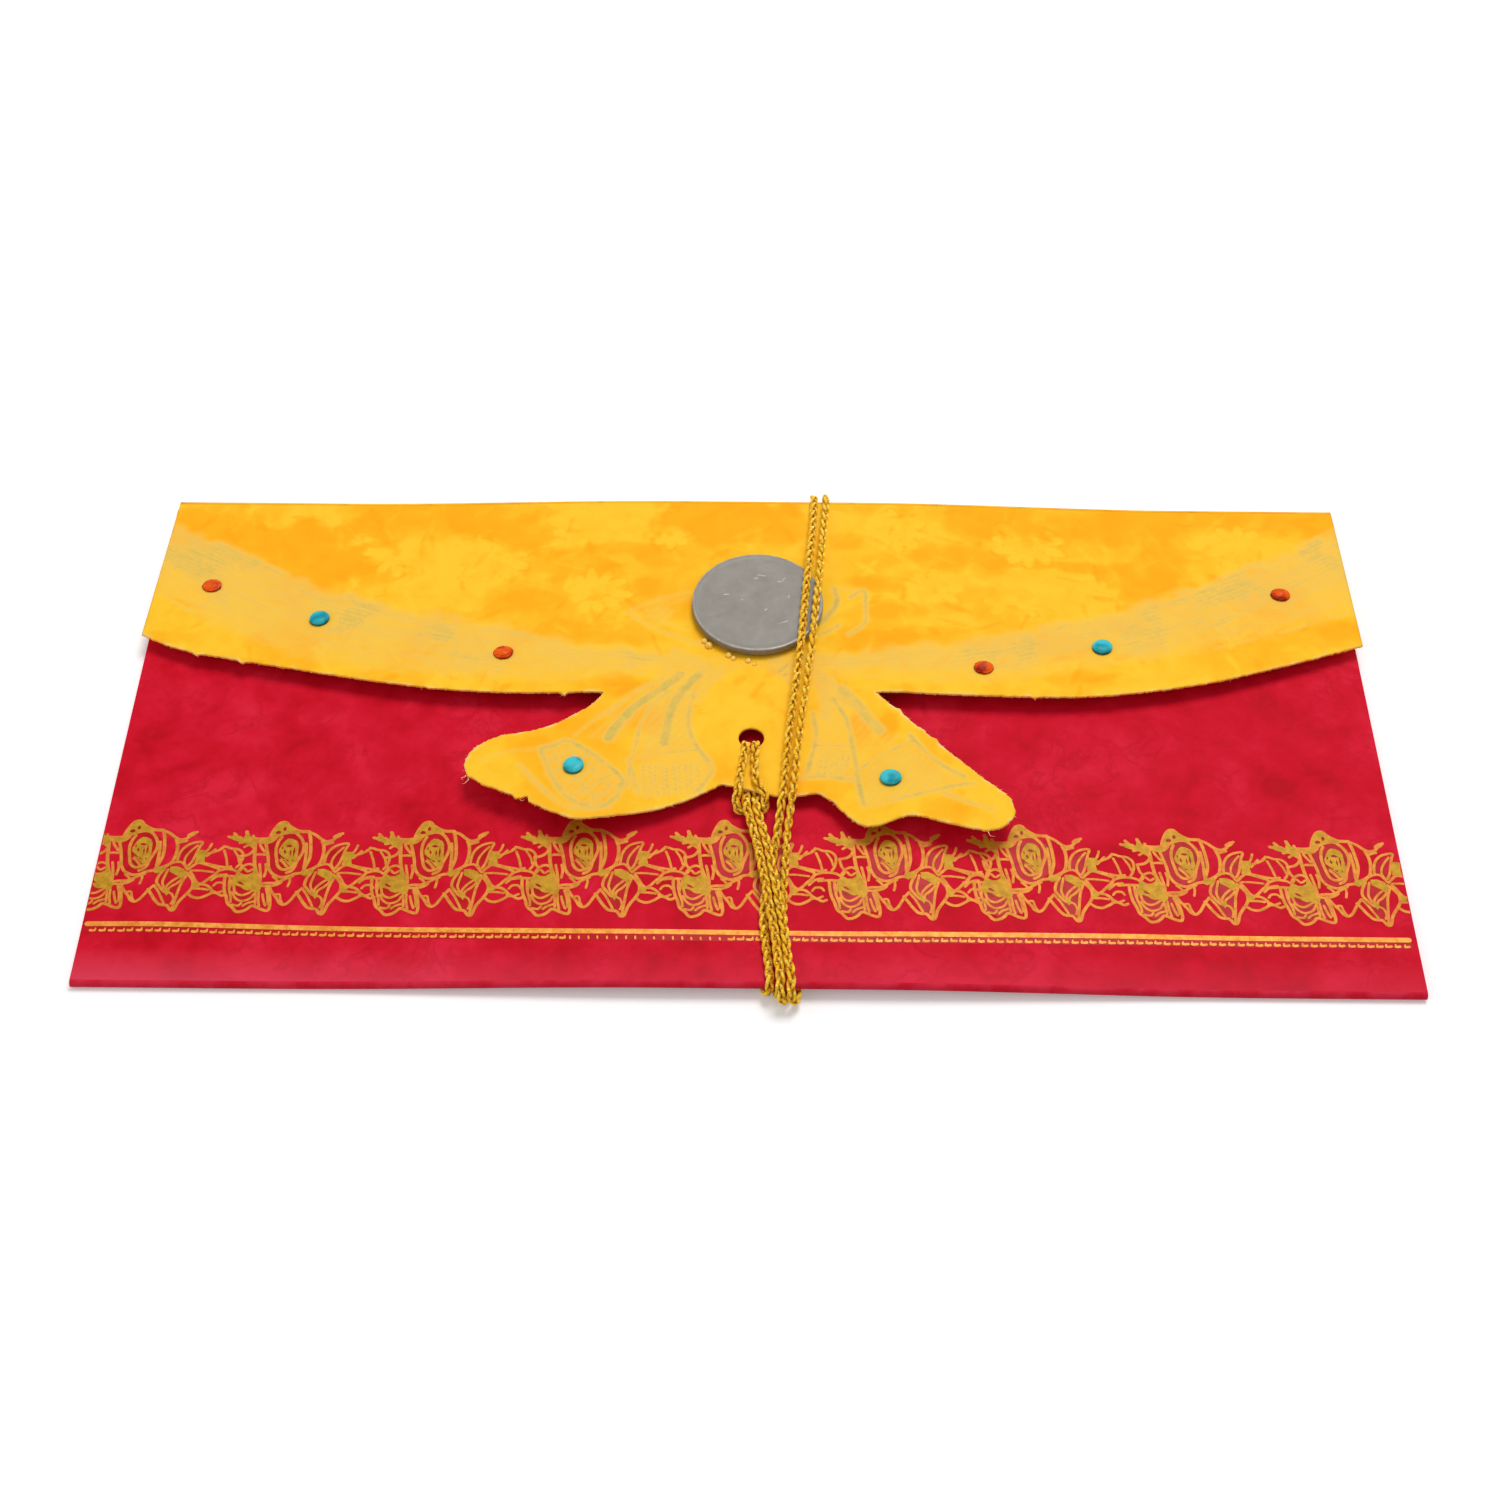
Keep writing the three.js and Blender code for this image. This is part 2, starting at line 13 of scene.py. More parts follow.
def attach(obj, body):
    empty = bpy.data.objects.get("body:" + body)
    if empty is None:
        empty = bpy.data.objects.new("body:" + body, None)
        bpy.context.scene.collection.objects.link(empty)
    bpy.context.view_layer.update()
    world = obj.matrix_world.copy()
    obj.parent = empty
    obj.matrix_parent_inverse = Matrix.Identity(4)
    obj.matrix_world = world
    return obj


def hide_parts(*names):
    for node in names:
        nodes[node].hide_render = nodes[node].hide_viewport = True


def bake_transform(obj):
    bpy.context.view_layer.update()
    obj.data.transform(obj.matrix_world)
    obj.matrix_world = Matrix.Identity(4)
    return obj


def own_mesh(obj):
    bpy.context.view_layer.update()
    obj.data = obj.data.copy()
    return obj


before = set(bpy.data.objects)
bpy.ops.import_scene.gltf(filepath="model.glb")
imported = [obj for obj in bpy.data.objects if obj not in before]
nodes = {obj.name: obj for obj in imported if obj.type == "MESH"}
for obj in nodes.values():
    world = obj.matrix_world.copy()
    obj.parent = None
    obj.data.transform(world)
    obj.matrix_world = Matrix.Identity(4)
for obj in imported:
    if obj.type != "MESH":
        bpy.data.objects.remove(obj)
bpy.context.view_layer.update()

MM = 0.001
PHOTO_SIDE = 1500

# The part's own sizes
POCKET_LENGTH = 202
POCKET_DEPTH = 98
PAPER = 0.3
TAB_GAP = 0.45
SEAM_GLUE = 0.15
ARCH_HEIGHT = 1.4
ARCH_LEFT = -12
ARCH_RIGHT = 17
ARCH_FLANK = 60
FLAP_LENGTH = 203
FLAP_PAPER = 0.35
FLAP_CLEARANCE = 0.35
FLAP_SLOPE = 0.03
FLAP_SLOPE_AT_TAILS = 0.055
SLOPE_START = 13
SLOPE_END = 26
FLAP_SIDE = 32.4
HEM_GLUE = 0.1
HOLE_DIAMETER = 4.1
HOLE_X = 0.1
HOLE_FROM_FOLD = 53.8
COIN_DIAMETER = 21.9
COIN_THICKNESS = 1.4
COIN_X = 0.9
COIN_FROM_FOLD = 25.8
PAD_THICKNESS = 0.3
STONE_DIAMETER = 3.5
STONE_HEIGHT = 0.9
DOME_HEIGHT = 0.9
CORD_DIAMETER = 1.05
CORD_GAP = 0.46
CORD_CLEARANCE = 0.25
SEAT_GAP = 0.05
ROW_SHIFT = 0.665
FOIL_FROM_FOLD = 88.8

TAB_TOP = PAPER + TAB_GAP + PAPER
FRONT_TOP = TAB_TOP + SEAM_GLUE + PAPER
HEM_BOTTOM = PAPER + HEM_GLUE
FLAP_BOTTOM = FRONT_TOP + FLAP_CLEARANCE
FLAP_TOP = FLAP_BOTTOM + FLAP_PAPER
FOLD_OUTER = (FLAP_TOP - HEM_BOTTOM) / 2
FOLD_INNER = FOLD_OUTER - FLAP_PAPER
FOLD_HEIGHT = (FLAP_TOP + HEM_BOTTOM) / 2
FOLD_LINE = POCKET_DEPTH / 2
FOLD_Y = FOLD_LINE - FOLD_OUTER
BOTTOM_Y = FRONT_TOP / 2 - FOLD_LINE


def ramp(value, start, end):
    t = min(1.0, max(0.0, (value - start) / (end - start)))
    return 0.5 - 0.5 * math.cos(math.pi * t)


def arch(x):
    left = ramp(x, ARCH_LEFT - ARCH_FLANK, ARCH_LEFT)
    right = 1 - ramp(x, ARCH_RIGHT, ARCH_RIGHT + ARCH_FLANK)
    return ARCH_HEIGHT * min(left, right)


def flap_rise(x, y):
    tails = FLAP_SLOPE_AT_TAILS - FLAP_SLOPE
    slope = FLAP_SLOPE + tails * ramp(abs(x), SLOPE_START, SLOPE_END)
    return arch(x) + slope * max(0.0, FOLD_Y - y)


def in_row(points):
    """Points of the part's source, in millimetres, as metres of the row's frame."""
    moved = np.array(points, dtype=float)
    moved[:, 1] += ROW_SHIFT
    return moved * MM


# --- Camera ---------------------------------------------------------------------------------------
CAMERA_PITCH = math.radians(53.092)
CAMERA_YAW = math.radians(0.2252)
CAMERA_ROLL = math.radians(0.3481)
CAMERA_DISTANCE = 341.80
CAMERA_TARGET = Vector((-0.118, -2.615, 0))
CAMERA_FOCUS = 2109.28
SENSOR = 36


def add_camera():
    back = Vector((
        math.sin(CAMERA_YAW) * math.cos(CAMERA_PITCH),
        -math.cos(CAMERA_YAW) * math.cos(CAMERA_PITCH),
        math.sin(CAMERA_PITCH),
    ))
    level = Vector((0, 0, 1)).cross(back).normalized()
    upright = back.cross(level)
    across = math.cos(CAMERA_ROLL) * level + math.sin(CAMERA_ROLL) * upright
    up = math.cos(CAMERA_ROLL) * upright - math.sin(CAMERA_ROLL) * level
    turn = Matrix((across, up, back)).transposed().to_4x4()
    lens = bpy.data.cameras.new("camera")
    lens.sensor_width = SENSOR
    lens.sensor_height = SENSOR
    lens.lens = CAMERA_FOCUS * SENSOR / PHOTO_SIDE
    lens.clip_start = 0.01
    camera = bpy.data.objects.new("camera", lens)
    place = (CAMERA_TARGET + back * CAMERA_DISTANCE) * MM
    camera.matrix_world = Matrix.Translation(place) @ turn
    bpy.context.collection.objects.link(camera)
    bpy.context.scene.camera = camera


add_camera()


# --- Mesh and material helpers --------------------------------------------------------------------
def mesh_piece(name, points, faces, look, body=None, smooth=False):
    mesh = bpy.data.meshes.new(name)
    mesh.from_pydata([tuple(p) for p in points], [], [tuple(f) for f in faces])
    mesh.validate()
    mesh.materials.append(look)
    if smooth:
        mesh.shade_smooth()
    piece = bpy.data.objects.new(name, mesh)
    bpy.context.collection.objects.link(piece)
    if body:
        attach(piece, body)
    return piece


def linear(red, green, blue):
    """A screen colour from 0 to 255 as the linear colour that shaders take."""
    values = []
    for v in (red, green, blue):
        v /= 255
        values.append(v / 12.92 if v <= 0.04045 else ((v + 0.055) / 1.055) ** 2.4)
    return (*values, 1)


def new_look(name, **settings):
    look = bpy.data.materials.new(name)
    look.use_nodes = True
    shader = look.node_tree.nodes["Principled BSDF"]
    for key, value in settings.items():
        shader.inputs[key.replace("_", " ").title().replace("Ior", "IOR")].default_value = value
    return look, shader


def add_node(look, kind, wires=None, **settings):
    made = look.node_tree.nodes.new(kind)
    for key, value in settings.items():
        setattr(made, key, value)
    for key, value in (wires or {}).items():
        if isinstance(value, bpy.types.NodeSocket):
            look.node_tree.links.new(value, made.inputs[key])
        else:
            made.inputs[key].default_value = value
    return made


def place_of(look):
    return add_node(look, "ShaderNodeTexCoord").outputs["Object"]


def cloud(look, size, detail=3.0, roughness=0.5, distortion=0.0, where=None):
    """Noise whose lumps are about the given size in millimetres."""
    return add_node(look, "ShaderNodeTexNoise", {
        "Vector": where or place_of(look), "Scale": 1 / (size * MM), "Detail": detail,
        "Roughness": roughness, "Distortion": distortion,
    }).outputs["Fac"]


def colours_of(look, fac, stops):
    """A colour that follows a value, through stops of [value, screen colour]."""
    made = add_node(look, "ShaderNodeValToRGB", {"Fac": fac})
    band = made.color_ramp
    while len(band.elements) < len(stops):
        band.elements.new(0.5)
    for element, (at, colour) in zip(band.elements, stops):
        element.position = at
        element.color = linear(*colour)
    return made.outputs["Color"]


def mixed(look, fac, a, b):
    """A colour mixed with another one, which may be a plain screen colour."""
    b = linear(*b) if isinstance(b, tuple) else b
    return add_node(look, "ShaderNodeMix", {0: fac, 6: a, 7: b}, data_type="RGBA").outputs[2]


def ranged(look, value, low, high, to_low=0.0, to_high=1.0):
    return add_node(look, "ShaderNodeMapRange", {
        "Value": value, "From Min": low, "From Max": high, "To Min": to_low, "To Max": to_high,
    }).outputs["Result"]


def worked(look, kind, a, b=0.0):
    return add_node(look, "ShaderNodeMath", {0: a, 1: b}, operation=kind).outputs[0]


def summed(look, a, b):
    return worked(look, "ADD", a, b)


def times(look, a, b):
    return worked(look, "MULTIPLY", a, b)


def shared(look, a, share, b):
    """Two values together, the first with the given share and the second with the rest."""
    return summed(look, times(look, a, share), times(look, b, 1 - share))


def bumped(look, height, depth, strength=1.0, under=None):
    wires = {"Height": height, "Distance": depth * MM, "Strength": strength}
    if under is not None:
        wires["Normal"] = under
    return add_node(look, "ShaderNodeBump", wires).outputs["Normal"]


def wire(look, source, shader, name):
    look.node_tree.links.new(source, shader.inputs[name])


# --- Materials: screen colours from 0 to 255, sizes of noise in millimetres --------------------------
def make_red_paper():
    look, shader = new_look("crimson_paper", specular_ior_level=0.05)
    lumps = cloud(look, 18, 4, 0.6, 0.3)
    mottle = cloud(look, 4.5, 5, 0.62, 0.25)
    colour = colours_of(look, shared(look, lumps, 0.55, mottle), [
        (0.36, (186, 7, 28)), (0.46, (203, 14, 38)), (0.54, (211, 21, 46)), (0.64, (219, 33, 58)),
    ])
    # fine darker lines where the paper is crumpled: painted shade in its creases
    off_line = worked(look, "ABSOLUTE", worked(look, "SUBTRACT", cloud(look, 7, 4, 0.6, 0.5), 0.5))
    crease_shade = times(look, ranged(look, off_line, 0.0, 0.045, 0.3, 0), ranged(look, lumps, 0.45, 0.6))
    colour = mixed(look, crease_shade, colour, (160, 2, 22))
    # paler towards the bottom fold, most at the left: a painted sheen where the paper turns down to the fold
    place = add_node(look, "ShaderNodeSeparateXYZ", {"Vector": place_of(look)}).outputs
    painted_sheen = times(look, ranged(look, place["Y"], -42 * MM, -49 * MM),
                   ranged(look, place["X"], -95 * MM, -20 * MM, 0.6, 0.2))
    wire(look, mixed(look, painted_sheen, colour, (232, 84, 110)), shader, "Base Color")
    grain = bumped(look, cloud(look, 0.35, 3, 0.6), 0.02, 0.6)
    wire(look, bumped(look, mottle, 0.12, 0.5, grain), shader, "Normal")
    wire(look, ranged(look, mottle, 0.3, 0.7, 0.5, 0.65), shader, "Roughness")
    return look


PLAIN_YELLOW = [(0.4, (252, 168, 20)), (0.5, (253, 182, 32)), (0.6, (253, 195, 46))]


def make_yellow_paper(name, stops):
    look, shader = new_look(name, roughness=0.62, specular_ior_level=0.06)
    both = shared(look, cloud(look, 14, 3, 0.55, 0.8), 0.8, cloud(look, 1.6, 4, 0.6, 0.2))
    wire(look, colours_of(look, both, stops), shader, "Base Color")
    wire(look, bumped(look, cloud(look, 0.3, 3, 0.6), 0.02, 0.5), shader, "Normal")
    return look


THREAD_PITCH = 0.95


def make_printed_paper():
    """The flap's printed face. Its mesh carries the print: tone, lace, torn edge, and the place across."""
    look, shader = new_look("printed_paper", roughness=0.6, specular_ior_level=0.06)
    inks = add_node(look, "ShaderNodeAttribute", attribute_name="print")
    parts = add_node(look, "ShaderNodeSeparateColor", {"Color": inks.outputs["Color"]}).outputs
    across = add_node(look, "ShaderNodeAttribute", attribute_name="across").outputs["Fac"]
    fibre = worked(look, "SUBTRACT", cloud(look, 0.9, 5, 0.7, 0.3), 0.5)
    ground = colours_of(look, summed(look, parts["Red"], times(look, fibre, 0.3)), [
        (0.08, (255, 170, 18)), (0.4, (254, 179, 27)), (0.68, (253, 190, 37)), (0.96, (254, 200, 48)),
    ])
    waves = worked(look, "SINE", times(look, across, 2 * math.pi / THREAD_PITCH))
    threads = times(look, times(look, waves, ranged(look, cloud(look, 3, 3, 0.6), 0.38, 0.6)), 0.1)
    worn = summed(look, summed(look, threads, 1.0), times(look, fibre, 0.9))
    lace = times(look, parts["Green"], worn)
    ink = colours_of(look, lace, [
        (0.25, (248, 196, 80)), (0.5, (240, 194, 88)), (0.75, (220, 186, 86)), (1.0, (198, 178, 84)),
    ])
    inked = mixed(look, ranged(look, lace, 0.0, 0.62), ground, ink)
    wire(look, mixed(look, parts["Blue"], inked, (254, 232, 168)), shader, "Base Color")
    waved = bumped(look, cloud(look, 9, 3, 0.5), 0.25, 0.35)
    wire(look, bumped(look, cloud(look, 0.3, 3, 0.6), 0.02, 0.5, waved), shader, "Normal")
    return look


def make_cord_look():
    """Metal thread with painted light: painted shade in the gaps between the plies, a painted highlight on them, and
    painted glints.
    """
    look, shader = new_look("gold_thread", metallic=0.25, roughness=0.35, specular_ior_level=0.2)
    hull_shade = add_node(look, "ShaderNodeAttribute", attribute_name="hull_shade").outputs["Fac"]
    fleck = cloud(look, 0.42, 2, 0.6)
    # darker where a ply dips between the others, lighter on the outside: painted shade and highlight
    colour = colours_of(look, summed(look, hull_shade, ranged(look, fleck, 0.3, 0.7, -0.12, 0.12)), [
        (0.42, (146, 80, 0)), (0.62, (204, 134, 4)), (0.8, (238, 180, 14)), (0.98, (253, 214, 50)),
    ])
    # pale gold specks that stand for the thread's glints: painted highlights
    colour = mixed(look, ranged(look, fleck, 0.555, 0.62, 0, 0.9), colour, (255, 232, 124))
    # dark specks that stand for shade between the links: painted shade
    painted_gaps = ranged(look, cloud(look, 0.5, 2, 0.5), 0.41, 0.36, 0, 0.5)
    wire(look, mixed(look, painted_gaps, colour, (132, 72, 0)), shader, "Base Color")
    wire(look, bumped(look, cloud(look, 0.16, 2), 0.03, 0.7), shader, "Normal")
    return look


def make_coin_look():
    look, shader = new_look("dull_coin", metallic=0.3, roughness=0.5, specular_ior_level=0.3)
    stretched = add_node(look, "ShaderNodeMapping", {
        "Vector": place_of(look), "Scale": (1.0, 7.0, 1.0), "Rotation": (0, 0, 0.5),
    }).outputs["Vector"]
    scratches = cloud(look, 1.4, 4, 0.7, 0.0, stretched)
    both = shared(look, cloud(look, 3.5, 5, 0.6, 0.5), 0.65, scratches)
    stops = [(0.36, (124, 119, 111)), (0.52, (132, 127, 119)), (0.68, (140, 135, 127))]
    wire(look, colours_of(look, both, stops), shader, "Base Color")
    wire(look, ranged(look, scratches, 0.3, 0.7, 0.38, 0.62), shader, "Roughness")
    wire(look, bumped(look, scratches, 0.02, 0.6), shader, "Normal")
    return look


def make_speckled(name, lumps, stops, grain, depth, strength, **settings):
    """A look with one noise for its colour, and one for bumps of the given depth and strength."""
    look, shader = new_look(name, **settings)
    wire(look, colours_of(look, cloud(look, *lumps), stops), shader, "Base Color")
    wire(look, bumped(look, cloud(look, *grain), depth, strength), shader, "Normal")
    return look


def make_foil(name, dark, light, rough=0.5):
    return make_speckled(name, (1.1, 4, 0.65), [(0.35, dark), (0.65, light)], (0.25, 2), 0.01, 0.5,
                         metallic=0.2, roughness=rough, specular_ior_level=0.2)


def make_glass(name, dark, light):
    lumps = (2.2, 1.5, 0.5, 0.3)
    return make_speckled(name, lumps, [(0.35, dark), (0.62, light)], lumps, 0.08, 0.5,
                         roughness=0.3, specular_ior_level=0.1)


RED = make_red_paper()
YELLOW = make_yellow_paper("golden_paper", PLAIN_YELLOW)
PRINTED = make_printed_paper()
TORN = make_yellow_paper("torn_paper_edge", [(0.4, (254, 174, 32)), (0.6, (255, 202, 78))])
FIBRE = make_yellow_paper("paper_fibre", [(0.4, (250, 224, 164)), (0.6, (254, 240, 204))])
THREAD = make_cord_look()
FOIL = make_foil("gold_foil_print", (188, 112, 30), (216, 140, 52))
OLIVE = make_foil("olive_foil_print", (166, 118, 12), (196, 146, 30))
COPPER = make_foil("copper_foil_line", (208, 122, 32), (238, 164, 68), 0.45)
COIN = make_coin_look()
# pale metal for the coin's marks, and a painted highlight on the coin's bevel
BRIGHT_METAL = make_foil("pale_marks_and_bevel_highlight", (142, 138, 130), (172, 168, 160), 0.4)
RED_GLASS = make_glass("red_glass_paste", (158, 22, 0), (244, 92, 8))
# darker copies of the stones' looks for their lower rows: painted shade
RED_RIM = make_glass("red_glass_painted_shade", (110, 10, 0), (158, 30, 2))
BLUE_GLASS = make_glass("turquoise_paste", (22, 142, 158), (64, 194, 206))
BLUE_RIM = make_glass("turquoise_painted_shade", (6, 78, 84), (14, 116, 124))
# the bottom fold in a paler pink red: a painted sheen where the folded edge catches the light
CREASE = make_speckled(
    "fold_painted_sheen", (3.5, 4, 0.6), [(0.35, (200, 22, 44)), (0.62, (214, 44, 68))], (0.35, 3, 0.6), 0.02, 0.6,
    roughness=0.6, specular_ior_level=0.05,
)
PRINT_SHADE = make_glass("print_shade", (150, 30, 4), (184, 30, 16))
# deeper red for the print between the rose strokes, and for the painted shadow below the gold line
DEEP_RED = make_glass("deep_red_print_and_painted_shadow", (178, 14, 22), (194, 20, 30))
GLUE = make_speckled(
    "dry_glue", (0.8, 3, 0.6), [(0.35, (232, 178, 44)), (0.65, (252, 214, 104))], (0.8, 3, 0.6), 0.05, 0.6,
    roughness=0.35,
)

NODE_FINISH = {
    "back_panel": RED, "bottom_fold": CREASE, "front_panel": RED, "side_tab_left": RED, "side_tab_right": RED,
    "flap_hem": YELLOW, "hem_glue": GLUE, "coin_glue_pad": GLUE, "seam_glue_left": GLUE, "seam_glue_right": GLUE,
}
for name, look in NODE_FINISH.items():
    for material_slot in nodes[name].material_slots:
        material_slot.material = look


# --- The cord's route, as the part's source has it ------------------------------------------------
CORD_RADIUS = CORD_DIAMETER / 2
CORD_PITCH = CORD_DIAMETER + CORD_GAP
CORD_OFF = CORD_CLEARANCE + CORD_RADIUS
CORD_BACK = ARCH_HEIGHT - CORD_OFF
CORD_FRONT = ARCH_HEIGHT + FRONT_TOP + CORD_OFF
CORD_OVER = CORD_FRONT + CORD_PITCH
COIN_STACK = PAD_THICKNESS + COIN_THICKNESS + 2 * SEAT_GAP
FIRST_LANE = 2.45
LANE_PITCH = CORD_PITCH + 0.12
LANE_SHIFT = 0.75
TOP_LANE = 11.7
TOP_SPREAD = 1.05
TAIL_LENGTH = 22
TAIL_DRIFT = 0.6
KNOT_LENGTH = 3
KNOT_WIDTH = 3.2
KNOT_END = 2.5
KNOT_GAP = 0.3


def on_flap(down):
    return ARCH_HEIGHT + FLAP_TOP + FLAP_SLOPE * max(0, down - FOLD_OUTER) + CORD_OFF


def on_coin(down):
    return on_flap(down) + COIN_STACK


def lane(i):
    return FIRST_LANE + i * LANE_PITCH


def round_the_edge(t):
    return ramp(t, 0.1, 0.7)


def lane_at(i, t):
    return lane(i) + LANE_SHIFT * round_the_edge(t)


def edge_turn(y, low, high, x, extra=lambda t: 0, steps=6, goes_up=True):
    middle = (low + high) / 2
    outwards = -1 if y < 0 else 1
    turn = []
    for i in range(steps + 1):
        t = i / steps
        angle = (-1 if goes_up else 1) * (math.pi / 2 - math.pi * t)
        radius = (high - low) / 2 + extra(t)
        turn.append((x(t), y + outwards * radius * math.cos(angle), middle + radius * math.sin(angle)))
    return turn


def placed(points, shift=0.0):
    return [(x + shift, FOLD_LINE - down, z) for x, down, z in points]


def outer_pair(side):
    near = CORD_PITCH / 2
    edge = 65.4
    coin_low = 34
    coin_high = 18.6
    return placed([
        (5.05 + side * near, 71.3, CORD_FRONT + 0.45),
        (5.45 + side * near, 68.6, on_flap(edge) - 0.9),
        (5.75 + side * near, 66.2, on_flap(edge) + 0.02),
        (6 + side * near, 64.2, on_flap(edge) + 0.08),
        (6.7 + side * (near + 0.05), 55.7, on_flap(edge) + 0.3),
        (9.15 + side * (near + 0.15), coin_low, on_coin(coin_low)),
        (9.75 + side * (near + 0.18), COIN_FROM_FOLD, on_coin(COIN_FROM_FOLD) + 0.04),
        (10.4 + side * (near + 0.25), coin_high, on_coin(coin_high)),
        (11.1 + side * (TOP_SPREAD - 0.15), 10, (on_coin(coin_high) + on_flap(0)) / 2),
    ]) + edge_turn(FOLD_Y, CORD_BACK, on_flap(0), lambda t: TOP_LANE + side * TOP_SPREAD,
                   steps=8, goes_up=False)


def outer_strand(i, side, front_places):
    turn = edge_turn(BOTTOM_Y, CORD_BACK, CORD_FRONT, lambda t: lane_at(i, t))
    front = placed([(x, down, CORD_FRONT) for x, down in front_places])
    return [(lane(i) + TAIL_DRIFT, TAIL_LENGTH - FOLD_LINE, CORD_BACK)] + turn + front + outer_pair(side)


def inner_strand(i, side):
    def climb(t):
        return 1.65 * round_the_edge(t)

    turn = edge_turn(
        BOTTOM_Y, CORD_BACK, CORD_FRONT,
        lambda t: lane_at(i - 1, t) + LANE_PITCH * math.cos(climb(t)),
        lambda t: LANE_PITCH * math.sin(climb(t)), steps=10,
    )
    shift = side * CORD_PITCH / 2
    front = [(5.05, 94.5), (4.75, 91), (4.3, 88), (3.75, 85), (3.3, 81.9), (2.1, 75), (1.3, 71.6),
             (0.5, 68.4), (HOLE_X, 66.7)]
    over = placed([(x, down, CORD_OVER) for x, down in front], shift)
    under = placed([(HOLE_X, 64.8, CORD_OVER - 0.75), (HOLE_X, 62.5, CORD_FRONT + 0.3)], shift)
    return turn + over + under


def hitch_leg(side, leg_places):
    hole_edge = HOLE_FROM_FOLD + HOLE_DIAMETER / 2
    high = on_flap(hole_edge)
    low = high - FLAP_PAPER - 2 * CORD_OFF
    strand_x = HOLE_X - 0.1 + side * CORD_PITCH / 2
    through = edge_turn(0, low, high, lambda t: strand_x)
    edge = 64
    return (
        [(x, y + FOLD_LINE - hole_edge, z) for x, y, z in through]
        + placed([(HOLE_X + x, down, on_flap(down)) for x, down in leg_places])
        + placed([(HOLE_X + side * x, down, z) for x, down, z in (
            (2.2, 65.5, on_flap(edge) - 0.2),
            (2.3, 66.7, CORD_OVER - 0.35),
            (2.05, 67.1, CORD_FRONT + 0.45),
            (1.3, 67.1, CORD_FRONT + 0.02),
        )])
    )


def cord_points():
    left_outer = outer_strand(0, -1, [
        (2.95, 94.5), (2.45, 90.5), (2.15, 87), (2.3, 83.5), (2.9, 80), (3.65, 75.5)])
    right_outer = outer_strand(1, 1, [(5.2, 94.5), (5.45, 91), (5.2, 86), (5.2, 81), (5.5, 76)])
    left_leg = hitch_leg(-1, [(-1.3, 59), (-1.7, 61.5), (-1.85, 63.6)])
    right_leg = hitch_leg(1, [(0.55, 59), (0.6, 61.5), (1.05, 63.6)])
    return (left_outer + inner_strand(2, -1) + left_leg + right_leg[::-1]
            + inner_strand(3, 1)[::-1] + right_outer[::-1])


# --- Smooth lines through points -------------------------------------------------------------------
def split_long(points, most):
    """The same line with no span longer than the given length."""
    out = [np.array(points[0], dtype=float)]
    for a, b in zip(points, points[1:]):
        a, b = np.array(a, dtype=float), np.array(b, dtype=float)
        parts = max(1, math.ceil(np.linalg.norm(b - a) / most))
        out.extend(a + (b - a) * k / parts for k in range(1, parts + 1))
    return np.array(out)


def even_steps(points, step):
    spans = np.linalg.norm(np.diff(points, axis=0), axis=1)
    along = np.concatenate([[0], np.cumsum(spans)])
    count = max(2, round(along[-1] / step) + 1)
    at = np.linspace(0, along[-1], count)
    return np.stack([np.interp(at, along, points[:, k]) for k in range(points.shape[1])], axis=1), along[-1]


def softened(points, rounds):
    """The line with its corners eased and its two ends kept."""
    out = points.copy()
    for _ in range(rounds):
        out[1:-1] = 0.25 * out[:-2] + 0.5 * out[1:-1] + 0.25 * out[2:]
    return out


def frames_along(points, first_normal):
    """Tangents, normals and sideways directions that turn with the line and don't spin."""
    tangents = np.gradient(points, axis=0)
    tangents /= np.linalg.norm(tangents, axis=1)[:, None]
    normals = np.zeros_like(points)
    n = np.array(first_normal, dtype=float)
    for i, t in enumerate(tangents):
        n = n - t * np.dot(n, t)
        n /= np.linalg.norm(n)
        normals[i] = n
    return tangents, normals, np.cross(tangents, normals)


def band_faces(rings, around, first=0, flip=False):
    """The quads between neighbouring rings of points."""
    faces = []
    for i in range(rings - 1):
        a, b = first + i * around, first + (i + 1) * around
        for j in range(around):
            k = (j + 1) % around
            faces.append((a + k, a + j, b + j, b + k) if flip else (a + j, a + k, b + k, b + j))
    return faces


def tube(centres, radius, sides, first_normal, twist=0.0, step=0.1):
    """Points and faces of a closed tube that may twist about its own line."""
    _, normals, sideways = frames_along(centres, first_normal)
    count = len(centres)
    radii = np.broadcast_to(radius, (count,))
    along = np.arange(count) * step
    points = []
    for j in range(sides):
        angle = 2 * math.pi * j / sides + twist * along
        points.append(centres + radii[:, None] * (
            np.cos(angle)[:, None] * sideways + np.sin(angle)[:, None] * normals))
    points = np.stack(points, axis=1).reshape(-1, 3)
    start, end = tuple(range(sides))[::-1], tuple((count - 1) * sides + j for j in range(sides))
    return points, [*band_faces(count, sides), start, end]


def joined(parts):
    points, faces, start = [], [], 0
    for more_points, more_faces in parts:
        points.append(more_points)
        faces.extend(tuple(v + start for v in face) for face in more_faces)
        start += len(more_points)
    return np.concatenate(points), faces


# --- The plaited cord -------------------------------------------------------------------------------
PLY_COUNT = 3
PLY_SIDES = 6
PLY_RADIUS = 0.33
PLY_SWING = 0.4
PLY_LIFT = 0.17
PLAIT_LENGTH = 6.4
PLY_TWIST = 2 * math.pi / 1.7
CORD_STEP = 0.17


